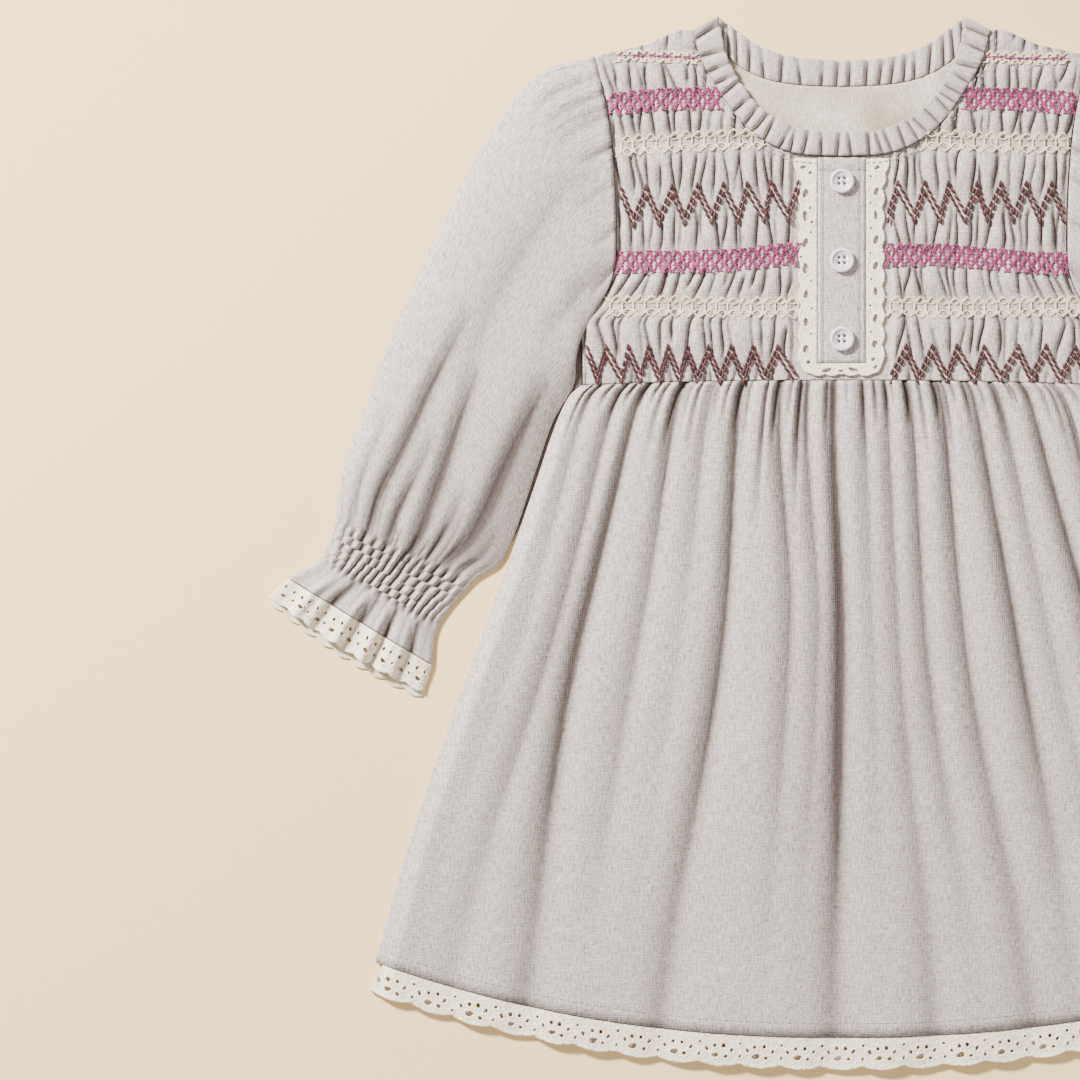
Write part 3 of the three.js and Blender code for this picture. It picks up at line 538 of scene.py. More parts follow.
def undulation(x, y, size, seed, count=7):
    """A gentle, endless unevenness in mm: a sum of slow waves in random directions."""
    random = np.random.default_rng(seed)
    total = np.zeros_like(x)
    for _ in range(count):
        turn, phase = random.uniform(0, np.pi), random.uniform(0, 2 * np.pi)
        length = size * random.uniform(0.6, 1.7)
        total += np.sin(2 * np.pi * (x * np.cos(turn) + y * np.sin(turn)) / length + phase)
    return total / count


def skirt_point(u, v):
    """The front skirt's outer grid in mm and its painted shade values."""
    high, painted_shade = skirt_surface(u, v)
    drop, small = skirt_gathers(u, v)
    x = u * skirt_width(v)
    y = lerp(hem_at(u), waist_at(u) - GAP, v)
    z = high - drop + 0.45 * undulation(1.6 * x, 0.5 * y, 46.0, 3)
    z += 0.12 * undulation(x, y, 17.0, 4)
    z = np.maximum(z, LAYER + 1.1)
    z = lerp(z, LAYER + 1.0, ease(np.abs(u), SIDE_ROLL, 1.0))
    return xyz(x, y, z), np.clip(painted_shade + small, 0, 0.92)


def make_skirt_front():
    u, v = np.meshgrid(np.linspace(-1, 1, 301), np.linspace(0, 1, 121) ** 0.85)
    outer, painted_shade = skirt_point(u, v)
    piece = shell("skirt_front_cloth", outer, linen, outer[..., :2], painted_shade, LAYER)
    node, under = ["skirt_front"], ["skirt_back"]
    dress_up(piece, node)


make_skirt_front()

# %% [markdown]
# ## Panels that lie underneath
# The back skirt and back bodice lie flat on the surface, and little more than their rims can be
# seen, so a thin slab with a rounded rim is true to them.

# %% Back skirt and back bodice
BACK_THICK = 1.2  # mm
RIM_ROUND = 0.35  # how far the rim of a slab's top is lowered, mm


def slab(name, x, y):
    """A flat wall of linen: the rim of its top is lowered a little, so that its edge is rounded."""
    outer, inner = xyz(x, y, BACK_THICK), xyz(x, y, 0.0)
    rim = np.ones_like(x)
    rim[1:-1, 1:-1] = 0
    outer[..., 2] -= RIM_ROUND * rim
    return wall(name, outer, inner, linen, outer[..., :2])


def make_skirt_back():
    u, v = np.meshgrid(np.linspace(-1, 1, 81), np.linspace(0, 1, 31))
    piece = slab("skirt_back_cloth", u * skirt_width(v), lerp(hem_at(u), waist_at(u) - GAP, v))
    dress_up(piece, ["skirt_back"])


def bodice_grid(head, columns, rows):
    """Grid of a bodice panel: columns run up to its head, the line of shoulder and neck seam."""
    t = np.linspace(-1, 1, columns)
    tall = np.linspace(70.0, 242.0, 1721)
    x_all = t[:, None] * bodice_side(tall)[None, :]
    above = tall[None, :] >= head(np.abs(x_all))
    top = tall[np.argmax(above, axis=1)]
    v = np.linspace(0, 1, rows)[:, None]
    y = lerp(waist_at(t), top, v)
    return t * bodice_side(y), y


def make_bodice_back():
    shoulder = [(68.4, 235.3), (90.0, 229.0), (113.4, 223.7)]
    head = smooth_curve([(row[1], row[2]) for row in BACK_NECK] + shoulder)
    piece = slab("bodice_back_cloth", *bodice_grid(head, 81, 31))
    dress_up(piece, ["bodice_back"])


make_skirt_back()
make_bodice_back()

# %% [markdown]
# ## The smocked front bodice
# Smocking gathers cloth into tubes and stitches across them. Between two rows of stitches the
# tubes puff up; at a row they are drawn in. So the height is a puff that depends on y, cut by
# grooves. The hand-made look comes from the grooves: each band has its own set, and each
# groove its own place, lean, bow and depth. The underside is not seen, so the cloth is closed
# by a flat face below it instead of a second wall of pleats.

# %% Smocked bodice
puff_at = smooth_curve(
    [
        (71.0, 0.5), (81.8, 0.45), (95.5, 1.0), (109.5, 0.35), (120.0, 1.0), (130.8, 0.35),
        (142.0, 1.0), (157.0, 0.45), (171.5, 1.0), (183.8, 0.35), (194.0, 1.0), (203.8, 0.35),
        (213.5, 1.0), (222.5, 0.4), (231.0, 0.8), (243.0, 0.6),
    ]
)
STITCH_ROWS = [66.0, 82.0, 109.5, 130.8, 157.0, 183.8, 203.8, 222.5, 244.0]
PLAIN_HALF = 22.5  # no pleats under the placket and its lace, mm
PLEAT_HIGH = 2.6  # mm
GROOVES = 17  # on each side in each band


def bodice_surface(x, y):
    random = np.random.default_rng(11)
    room = bodice_side(y) - PLAIN_HALF
    open_share, painted_shade = np.ones_like(x), np.zeros_like(x)
    for low, high in zip(STITCH_ROWS[:-1], STITCH_ROWS[1:]):
        middle, half = (low + high) / 2, (high - low) / 2
        way = (y - middle) / half
        rows = np.where(np.any(np.abs(way) < 1.25, axis=1))[0]
        if not len(rows):
            continue
        cut = slice(rows[0], rows[-1] + 1)
        w = way[cut]
        fade = (1 - ease(np.abs(w), 0.7, 1.2)) * (1 - 0.35 * ease(np.abs(w), 0.35, 0.8))
        for side in (-1, 1):
            for i in range(GROOVES):
                share = (i + 0.5 + random.uniform(-0.36, 0.36)) / GROOVES
                lean, bow = random.uniform(-1.9, 1.9), random.uniform(-1.5, 1.5)
                twist = random.uniform(-0.8, 0.8)
                deep = random.choice([1.0, 0.85, 0.55], p=[0.5, 0.3, 0.2])
                slot, hollow = random.uniform(0.45, 0.85), random.uniform(1.5, 2.4)
                start, end = random.choice([-1.3, -0.75, -0.2], p=[0.6, 0.25, 0.15]), 1.3
                if random.uniform() < 0.5:
                    start, end = -end, -start
                line = PLAIN_HALF + room[cut] * share + lean * w + bow * (1 - w * w)
                line = line + twist * np.sin(3.1 * w)
                away = side * x[cut] - line
                part = ease(w, start - 0.25, start + 0.25) * (1 - ease(w, end - 0.25, end + 0.25))
                near = np.where(np.abs(away) < 9.0, fade * part, 0.0)
                groove = 0.6 * bell(away, slot) + 0.4 * bell(away, hollow)
                open_share[cut] *= 1 - deep * near * groove
                # Painted shade in each groove and beside it.
                dark = 0.8 * bell(away, 0.6 * slot) + 0.34 * bell(away + 0.6 * side, 1.6)
                painted_shade[cut] += deep * near * dark
    plain = 1 - ease(np.abs(x), PLAIN_HALF - 0.6, PLAIN_HALF + 2.2)
    edge = ease(np.abs(x), bodice_side(y) - 4.0, bodice_side(y))
    z = BODICE_FOOT + PLEAT_HIGH * puff_at(y) * open_share * (1 - plain) * (1 - 0.7 * edge)
    z += 0.3 * undulation(x, 0.6 * y, 9.0, 8) * (1 - plain) - 0.4 * edge
    return z, np.clip(painted_shade * (1 - plain), 0, 0.9)


def make_bodice_front():
    x, y = bodice_grid(bodice_head, 401, 181)
    z, painted_shade = bodice_surface(x, y)
    number = numbers_of(z)
    edges = number[0, :-1], number[:-1, -1], number[-1, :0:-1], number[:0:-1, 0]
    loop = np.concatenate(edges)
    top = xyz(x, y, z).reshape(-1, 3)
    foot = top[loop] * [1, 1, 0] + [0, 0, LAYER]
    under = number.size + np.arange(len(loop))
    rim = np.stack([loop, under, np.roll(under, -1), np.roll(loop, -1)], -1)
    points = np.concatenate([top, foot])
    # Painted shade values of the top; the flat underside gets none.
    values = np.concatenate([painted_shade.ravel(), np.zeros(len(loop))])
    faces = [*faces_of(number), *rim, under[::-1]]
    piece = finish_mesh("bodice_front_smocked", points, faces, linen, points[:, :2], values)
    dress_up(piece, ["bodice_front"])


make_bodice_front()

# %% [markdown]
# ## Sleeves
# A sleeve lies as a flattened tube. Its table gives the two edges and the height at eleven
# sections from shoulder to wrist. The cloth between them is a low dome with creases that run
# along the sleeve: short ones fan out from the armhole, long ones gather above the wrist. The
# five elastic rows pucker the cloth, and each row is shifted a little from the next. The other
# sleeve gets the same tables, mirrored, with its own small creases.

# %% Sleeve tables
SIDES = [(-1, "left", 1), (1, "right", 2)]  # direction, name, random seed
# Columns: section, outer edge x, y, inner edge x, y, height, how far it follows the armhole
SLEEVE = [
    (0, 113.8, 223.9, 119.9, 101.6, 5.4, 1.0), (1, 140.5, 214.9, 122.2, 86.5, 7.6, 0.55),
    (2, 161.6, 188.6, 123.2, 72.0, 8.2, 0.22), (3, 177.5, 159.5, 132.3, 56.0, 8.2, 0.06),
    (4, 193.3, 126.2, 138.3, 39.0, 8.0, 0.0), (5, 207.5, 94.0, 144.1, 21.5, 7.8, 0.0),
    (6, 219.5, 61.2, 150.7, 2.5, 7.8, 0.0), (7, 229.6, 33.0, 157.5, -9.8, 7.4, 0.0),
    (8, 232.7, 10.0, 169.5, -18.2, 5.8, 0.0), (9, 239.0, -6.5, 185.0, -37.5, 5.2, 0.0),
    (10, 254.1, -15.9, 187.9, -55.9, 5.6, 0.0),
]
sleeve_out_x, sleeve_out_y, sleeve_in_x, sleeve_in_y, sleeve_high, sleeve_bend = (
    smooth_curve(SLEEVE, 0, column) for column in range(1, 7)
)
# Columns: first section, last section, place across at each, depth mm, width as a share
SLEEVE_FOLDS = [
    (-0.5, 1.3, 0.06, 0.1, 1.5, 0.022), (-0.5, 1.1, 0.13, 0.17, 1.3, 0.022),
    (-0.5, 1.0, 0.21, 0.25, 1.0, 0.024), (0.2, 4.6, 0.4, 0.44, 0.9, 0.08),
    (-0.6, 2.6, 0.8, 0.72, 1.1, 0.05), (5.6, 8.6, 0.13, 0.1, 1.3, 0.036),
    (3.6, 8.6, 0.34, 0.2, 2.7, 0.046), (5.4, 8.6, 0.41, 0.34, 1.8, 0.04),
    (4.0, 8.6, 0.5, 0.54, 3.0, 0.05), (5.8, 8.6, 0.66, 0.65, 1.7, 0.04),
    (2.6, 8.6, 0.88, 0.76, 3.0, 0.055), (6.0, 8.6, 0.91, 0.88, 1.4, 0.036),
]
ELASTIC_ROWS = 5
PUCKERS = 15  # across a row of elastic
SMALL_CREASES = 26
SLEEVE_EDGE = 1.7  # height of the top at the two edges, mm


print("sleeve:", len(SLEEVE), "sections and", len(SLEEVE_FOLDS), "folds")

# %% [markdown]
# ### From tables to sleeves
# Every place on a sleeve has a section s, from 0 at the shoulder to 10 at the wrist's end, and a
# way t across it. The top's height, its creases and the shade painted into them are functions of
# both. The underside is flat.

# %% Sleeve surface


def sleeve_place(s, t):
    """x and y in mm at section s, from the outer edge t = 0 to the inner edge t = 1."""
    x = lerp(sleeve_out_x(s), sleeve_in_x(s), t)
    y = lerp(sleeve_out_y(s), sleeve_in_y(s), t)
    along = lerp(223.9, 101.6, t)
    curve = bodice_side(np.clip(along, 101.9, 223.7)) + 0.2 - lerp(113.8, 119.9, t)
    return x + sleeve_bend(s) * curve, y


def sleeve_dome(t):
    return 1 - np.abs(2 * t - 1) ** 5


def sleeve_creases(s, t, seed):
    """Depth in mm and painted shade value of the placed folds and of small, random ones."""
    random = np.random.default_rng(seed)
    rows = [row + (0.0,) for row in SLEEVE_FOLDS]
    for i in range(SMALL_CREASES):
        place = (i + 0.5 + random.uniform(-0.4, 0.4)) / SMALL_CREASES
        deep, wide = random.uniform(0.5, 1.3), random.uniform(0.012, 0.022)
        if i % 4:  # most rise from the cuff, and one in four falls from the shoulder
            start = random.uniform(6.2, 7.6)
            rows.append((start, 8.7, place + random.uniform(-0.03, 0.03), place, deep, wide, 0.3))
        else:
            end = random.uniform(0.45, 1.1)
            rows.append((-0.6, end, place, place + random.uniform(-0.02, 0.03), deep, wide, 0.3))
    drop, painted_shade = np.zeros_like(s), np.zeros_like(s)
    for start, end, first, last, deep, wide, sharp in rows:
        way = (s - start) / (end - start)
        strength = np.sin(np.pi * np.clip(way, 0, 1)) ** 0.6
        away = t - lerp(first, last, way)
        drop += deep * strength * bell(away, wide)
        painted_shade += (0.2 + sharp) * deep * strength * bell(away, 0.3 * wide)
        painted_shade += 0.25 * deep * strength * bell(away - 0.2 * wide, 1.1 * wide)
    # Painted shade: the inner side of the sleeve darkens over its last part, beside the skirt.
    painted_shade += 0.46 * ease(t, 0.6, 1.0) * ease(s, 1.6, 3.6) * (1 - ease(s, 7.4, 8.1))
    return drop, painted_shade


def flounce_wave(t, seed):
    """The five large waves of the flounce, from -1 in a hollow to 1 on a crest."""
    return np.cos(2 * np.pi * (5 * t + 0.16 * np.sin(2 * np.pi * (1.3 * t + 0.2 * seed)) + 0.05))


def sleeve_top(s, t, seed):
    """Height of the sleeve's top in mm and its painted shade values."""
    drop, painted_shade = sleeve_creases(s, t, seed)
    elastic = ease(s, 7.85, 8.1) * (1 - ease(s, 8.95, 9.25))
    row = np.clip((s - 8) * ELASTIC_ROWS, 0, ELASTIC_ROWS)
    line = np.floor(row)
    puff = np.sin(np.pi * (row - line)) ** 0.7
    random = np.random.default_rng(seed + 40)
    shift = random.uniform(-0.12, 0.12, ELASTIC_ROWS + 1)[line.astype(int)]
    bow = 0.3 * np.sin(2 * np.pi * (1.7 * t + 0.13 * line))
    pucker = np.cos(2 * np.pi * (PUCKERS * t + shift + bow + 0.14 * (row - line - 0.5)))
    cloth = elastic * ((0.95 + 0.35 * puff) * (0.2 + 0.85 * pucker) + 0.3 * puff - 0.7)
    # Painted shade in the hollows of the puckers and between the elastic rows.
    hollow = 0.18 * (1 - puff) ** 2 + 1.3 * np.clip(-pucker, 0, 1) ** 2
    painted_shade = painted_shade * (1 - 0.6 * elastic) + elastic * hollow
    large, small = flounce_wave(t, seed), np.cos(2 * np.pi * 11 * t + seed)
    wave = ease(s, 9.0, 10.0) * (1.8 * large + 0.7 * small)
    # Painted shade in the hollows of the flounce's waves.
    painted_shade += 0.9 * ease(s, 8.9, 9.3) * np.clip(-large, 0, 1) ** 4
    painted_shade += 0.36 * ease(s, 8.95, 9.2) * np.clip(-small, 0, 1) ** 3
    soft = 0.3 * undulation(60 * s, 120 * t, 60.0, seed + 9) * (1 - elastic)
    high = sleeve_high(s) - drop + cloth + wave + soft - SLEEVE_EDGE
    dome = sleeve_dome(t)
    return SLEEVE_EDGE + np.maximum(high, 0.5) * dome, np.clip(painted_shade * dome, 0, 0.9)


print("height of a sleeve at its middle, mm:", float(sleeve_high(5.0)))

# %% [markdown]
# ### Sewing the sleeves up
# The tube is one grid that goes around, so it has no side seams to hide. Where the back of the
# sleeve spreads under the arm, a flat strip of cloth fills the angle beside the bodice, and its
# colour is painted dark as the shadow there.

# %% Sleeve pieces


def under_fold(side):
    """The back of the sleeve where it spreads under the arm, up to the side of bodice and skirt."""
    s = np.linspace(0.12, 6.9, 90)[:, None]
    x, y = sleeve_place(s, 1.0)
    bodice, skirt = bodice_side(np.maximum(y, 72.0)), skirt_side(np.minimum(y, 72.4))
    body = np.minimum(np.where(y > 71.0, bodice, skirt) + 0.35, x + 1.4)
    body = lerp(body, x + 1.4, ease(s, 5.4, 6.9))
    across = side * lerp(x + 2.5, body, np.linspace(0, 1, 7))
    points, faces = wall_mesh(xyz(across, y, 0.95), xyz(across, y, 0.0))
    return points, faces[:, ::-1] if side < 0 else faces


def make_sleeve(side, word, seed):
    across, under = 135, 20
    sections = np.concatenate([np.linspace(0, 7.8, 82), np.linspace(7.8, 10, 76)[1:]])
    even = np.linspace(0, 1, across)
    above = 0.8 * even + 0.1 - 0.1 * np.cos(np.pi * even)
    below = np.linspace(1, 0, under + 2)[1:-1]
    t, s = np.meshgrid(np.concatenate([above, below]), sections)
    x, y = sleeve_place(s, t)
    z, painted_fold_shade = np.zeros_like(s), np.zeros_like(s)
    z[:, :across], painted_fold_shade[:, :across] = sleeve_top(s[:, :across], t[:, :across], seed)
    z[:, [0, across - 1]] = 0.9
    outer = xyz(x, y, z)
    spine = 0.5 * (outer[:, :1] + outer[:, across - 1 : across])
    inner = spine + (outer - spine) * (1 - CLOTH / 40)
    inner[..., 2] = np.maximum(z - CLOTH, 1.0)
    uv = xyz(90 * np.concatenate([above, 2 - below]), 30 * s)
    if side < 0:
        outer, inner, painted_fold_shade, uv = (grid[:, ::-1] for grid in (outer, inner, painted_fold_shade, uv))
    mirror = [side, 1, 1]
    points, faces = wall_mesh(outer * mirror, inner * mirror, around=True)
    fold_points, fold_faces = under_fold(side)
    # The under-arm strip gets a painted shade of 0.8 all over, for the shadow beside the bodice.
    piece = finish_mesh(
        f"sleeve_{word}_cloth",
        np.concatenate([points, fold_points]),
        np.concatenate([faces, fold_faces + len(points)]),
        linen,
        np.concatenate([uv.reshape(-1, 2)] * 2 + [fold_points[:, :2]]),
        np.concatenate([painted_fold_shade.ravel()] * 2 + [np.full(len(fold_points), 0.8)]),
    )
    dress_up(piece, [f"sleeve_{word}"])


for side, word, seed in SIDES:
    make_sleeve(side, word, seed)

# %% [markdown]
# ## Neck frill, lining and placket
# The frill is one strip of the same linen, gathered to the neck seam: wide at its free edge and
# drawn into small pleats at the seam. The lining is a cotton gauze that shows inside the back
# neck. The placket is a folded strip with a line of stitches along each edge and near its top.

# %% Neck frill
FRILL_THICK = 0.8  # mm
LINING_FIT, LINING_MIDDLE = 0.99, 193.6  # the lining is drawn in a little towards this height
PLACKET_HALF, PLACKET_FOOT, PLACKET_TOP = 11.0, 82.8, 177.1  # mm
PLACKET_SEWN, PLACKET_HEAD = 8.4, 171.6  # where its long and its short lines of stitches run


def frill_grid(table, columns, rows):
    """Points across a frill from its seam, v = 0, to its free edge, v = 1, from left to right."""
    share = np.linspace(-1, 1, columns)
    v = np.linspace(0, 1, rows)[:, None]
    seam_x, seam_y, edge_x, edge_y = (smooth_curve(table, 0, k)(np.abs(share)) for k in range(1, 5))
    x, y = np.sign(share) * lerp(seam_x, edge_x, v), lerp(seam_y, edge_y, v)
    return np.broadcast_arrays(share, v, x, y)


def frill_pleats(share, v, gathers, seed):
    """Height in mm and painted shade value: uneven pleats, tight at the seam and open at the free
    edge.
    """
    random = np.random.default_rng(seed)
    high, painted_shade = np.zeros_like(share), np.zeros_like(share)
    widths = random.uniform(0.55, 1.5, gathers)
    places = 2 * (np.cumsum(widths) - widths / 2) / widths.sum() - 1
    for place, wide in zip(places, widths):
        lean = random.uniform(-0.6, 0.6) / gathers
        reach = random.uniform(0.5, 1.3)
        away = (share - place - lean * v) * gathers
        fade = 1 - 0.6 * ease(v, 0.45 * reach, 1.1 * reach)
        nick = 0.5 * random.uniform(0, 1) * bell(away - 0.5, 0.13)
        high -= (1.9 * bell(away, 0.34 + 0.14 * v) + nick) * fade
        painted_shade += (0.9 * bell(away, 0.1) + 0.35 * bell(away, 0.28)) * fade * (0.6 + 0.4 * wide)
    # Painted shade along the seam, where the gathers are drawn in.
    painted_shade += 0.5 * (1 - ease(v, 0.0, 0.1))
    return high, np.clip(painted_shade, 0, 0.88)


def make_frill(part, table, gathers, length, middle, seed, flat, under):
    share, v, x, y = frill_grid(table, 24 * gathers, 15)
    high, painted_shade = frill_pleats(share, v, gathers, seed)
    seam = 1 - ease(v, 0.0, 0.16)
    z = middle + 1.0 + high * (1 - 0.55 * seam) - 0.5 * seam + 0.25 * np.sin(np.pi * v)
    pull = 0.075 * v**2 * np.clip(-high - 0.3, 0, 1.2)
    outer = xyz(lerp(x, x[:1], pull), lerp(y, y[:1], pull), z)
    inner = outer - [0, 0, FRILL_THICK]
    uv = xyz(share * length / 2, 12 * v)
    piece = wall(f"neck_frill_{part}", outer, inner, linen, uv, painted_shade)
    dress_up(piece, [f"neck_ruffle_{part}"])


# Columns: part, neck, pleats, cloth's length mm, middle's height mm, seed, flat size m, rests on
for row in (
    ("front", FRONT_NECK, 29, 420, 5.1, 21, (0.27, 0.0125), "bodice_front"),
    ("back", BACK_NECK, 19, 250, 1.95, 22, (0.18, 0.0125), "floor"),
):
    make_frill(*row)


# %% [markdown]
# ### Inside the neck and down the front
# The gauze lies between the two neck seams. The placket's edges are rolled, as on a folded
# strip, and it sinks a little along its stitches.

# %% Lining and placket


def make_lining():
    """Gauze between the two neck seams, lying on the back bodice, with soft, shallow waves."""
    t = np.linspace(-1, 1, 141)
    away = np.abs(t)
    low_x, low_y = (smooth_curve(FRONT_NECK, 0, k)(0.9 * away) for k in (1, 2))
    high_x, high_y = (smooth_curve(BACK_NECK, 0, k)(away) for k in (1, 2))
    v = np.linspace(0, 1, 31)[:, None]
    x = np.sign(t) * lerp(low_x, high_x, v) * LINING_FIT
    y = LINING_MIDDLE + (lerp(low_y, high_y, v) - LINING_MIDDLE) * LINING_FIT
    waves = 0.5 * (1 + undulation(x * 1.3, y, 26.0, 31)) * np.sin(np.pi * v) ** 0.3
    piece = wall("lining_gauze", xyz(x, y, 2.25 + 0.5 * waves), xyz(x, y, LAYER), gauze, xyz(x, y))
    dress_up(piece, ["lining_back"])


def make_placket():
    """A folded strip: full, rounded edges, slightly sunk along its lines of stitches."""
    half, foot, top = PLACKET_HALF, PLACKET_FOOT, PLACKET_TOP
    roll, lip = 1 - np.cos(np.linspace(0, np.pi / 2, 6)), np.array([0, 0.15, 0.5])
    x = np.concatenate([roll - half, np.linspace(-9.6, 9.6, 33), half - roll[::-1]])
    y = np.concatenate([foot + lip, np.linspace(84, 176, 61), top - lip[::-1]])
    x, y = np.meshgrid(x, y)
    rim = np.minimum(half - np.abs(x), np.minimum(top - y, y - foot))
    beside, above = np.abs(x) - PLACKET_SEWN, y - PLACKET_HEAD
    z = 4.45 + 0.65 * ease(rim, 0.0, 1.1) - 0.4 * bell(beside, 0.55)
    z += 0.14 * undulation(x, y * 0.4, 14.0, 33) - 0.35 * bell(above, 0.7)
    # Painted shade along the sunk lines of stitches.
    painted_shade = 0.35 * bell(beside, 0.45) + 0.3 * bell(above, 0.5)
    outer, inner = xyz(x, y, z), xyz(x, y, BODICE_FOOT + GAP)
    piece = wall("placket_strip", outer, inner, linen, xyz(x, y), painted_shade)
    dress_up(piece, ["placket"])


make_lining()
make_placket()

# %% [markdown]
# ## Buttons
# A moulded button is a turned profile: a rounded rim, a shallow bowl and a flat floor. The four
# holes go right through, so the profile is only turned out to the bowl, and the floor between
# is a flat sheet with four round openings, each with its own wall down to the back.

# %% Buttons
BUTTON = {"radius": 5.6, "high": 2.2, "floor": 1.5, "bowl": 3.9, "hole": 0.66, "hole_at": 1.25}
BUTTON_ROWS = [166.1, 129.7, 93.7]
BUTTON_BASE = 5.4
TURNS, HOLE_TURNS = 64, 20


def circle(x, y, radius, count):
    angle = 2 * np.pi * np.arange(count) / count
    return xyz(x + radius * np.cos(angle), y + radius * np.sin(angle))


def make_button(name, y):
    b = BUTTON
    rim_angle = np.linspace(-0.2, np.pi + 0.1, 15)
    rim_r, rim_z = b["radius"] - 0.85, b["high"] - 0.75
    profile = [(b["radius"] - 1.0, 0.0), (b["radius"] - 0.35, 0.12), (b["radius"] - 0.05, 0.6)]
    profile += [(rim_r + 0.85 * np.cos(a), rim_z + 0.75 * np.sin(a)) for a in rim_angle]
    profile += [(b["bowl"] + 0.1, b["floor"] + 0.12), (b["bowl"] - 0.25, b["floor"])]
    turned = np.concatenate([[[*p, z] for p in circle(0, 0, r, TURNS)] for r, z in profile])
    faces = []
    for first in range(0, len(turned) - TURNS, TURNS):
        for i in range(TURNS):
            a, c = first + i, first + (i + 1) % TURNS
            faces.append([a, c, c + TURNS, a + TURNS])
    spots = [(sx * b["hole_at"], sy * b["hole_at"]) for sx in (-1, 1) for sy in (-1, 1)]
    holes = [circle(*spot, b["hole"], HOLE_TURNS) for spot in spots]
    starts = [TURNS + HOLE_TURNS * k for k in range(len(spots))]
    loops = [list(range(TURNS))] + [list(range(a, a + HOLE_TURNS))[::-1] for a in starts]
    flat = [Vector(p) for p in np.concatenate([turned[-TURNS:, :2], *holes]).tolist()]
    flat, _, sheet, _, _, _ = delaunay_2d_cdt(flat, [], loops, 2, 1e-6)
    inside = [list(p) for p in flat[TURNS:]]
    # The sheet's numbers at the bowl's floor, and at the back, where the profile starts
    top = np.arange(len(flat)) + len(turned) - TURNS
    low = np.where(np.arange(len(flat)) < TURNS, np.arange(len(flat)), top + len(inside))
    faces += [top[face] for face in sheet] + [low[face[::-1]] for face in sheet]
    for start in starts:
        for i in range(HOLE_TURNS):
            a, c = start + i, start + (i + 1) % HOLE_TURNS
            faces.append([top[a], top[c], low[c], low[a]])
    ends = [[*p, z] for z in (b["floor"], 0.0) for p in inside]
    points = np.concatenate([turned, ends]) + [0.0, y, BUTTON_BASE]
    dress_up(finish_mesh(f"{name}_moulded", points, faces, plastic), [name])


for number, y in enumerate(BUTTON_ROWS):
    make_button(f"button_{number + 1}", y)

# %% [markdown]
# ## Crocheted lace
# Lace is a flat strip pierced by eyelets, so it is made flat: its scalloped outline, its holes
# and a scatter of points between them are joined by triangles, and the flat net is then mapped
# onto the dress. Two rings of points follow each hole and each edge, at 0.38 and 0.95 mm. They
# are lifted and lowered to give the raised cord that borders every opening in crochet.

# %% Lace
CORD_AT, CORD_END = 0.38, 0.95  # mm from an edge to the cord's crest and its foot
CORD_HIGH = 0.28


def ring_of(hole, grow):
    """An eyelet as a ring of points: centre x, y, half width, half height, turn in degrees."""
    x, y, wide, high, turn = hole
    count = 14 if max(wide, high) > 0.9 else 10
    angle = 2 * np.pi * np.arange(count) / count
    wobble = 1 + 0.1 * np.sin(3 * angle + x) + 0.06 * np.sin(2 * angle + 2 * y)
    a, b = (wide * wobble + grow) * np.cos(angle), (high * wobble + grow) * np.sin(angle)
    c, s = np.cos(np.radians(turn)), np.sin(np.radians(turn))
    return xyz(x + a * c - b * s, y + a * s + b * c)


def inset_of(loop, away):
    """The closed loop moved inwards by a distance, for a loop that runs anticlockwise."""
    along = np.roll(loop, -1, 0) - np.roll(loop, 1, 0)
    normal = xyz(-along[:, 1], along[:, 0])
    return loop + away * normal / np.maximum(np.linalg.norm(normal, axis=1, keepdims=True), 1e-9)


def inside_loop(points, loop):
    x, y = points[:, None, 0], points[:, None, 1]
    x0, y0 = loop[None, :, 0], loop[None, :, 1]
    x1, y1 = np.roll(loop[:, 0], -1)[None, :], np.roll(loop[:, 1], -1)[None, :]
    straddles = (y0 > y) != (y1 > y)
    crosses = x < (x1 - x0) * (y - y0) / np.where(y1 == y0, 1e-9, y1 - y0) + x0
    return np.sum(straddles & crosses, axis=1) % 2 == 1


def distance_to(points, others):
    best = np.full(len(points), 1e9)
    for start in range(0, len(others), 400):
        gap = points[:, None, :] - others[None, start : start + 400, :]
        best = np.minimum(best, np.sqrt((gap**2).sum(-1)).min(axis=1))
    return best


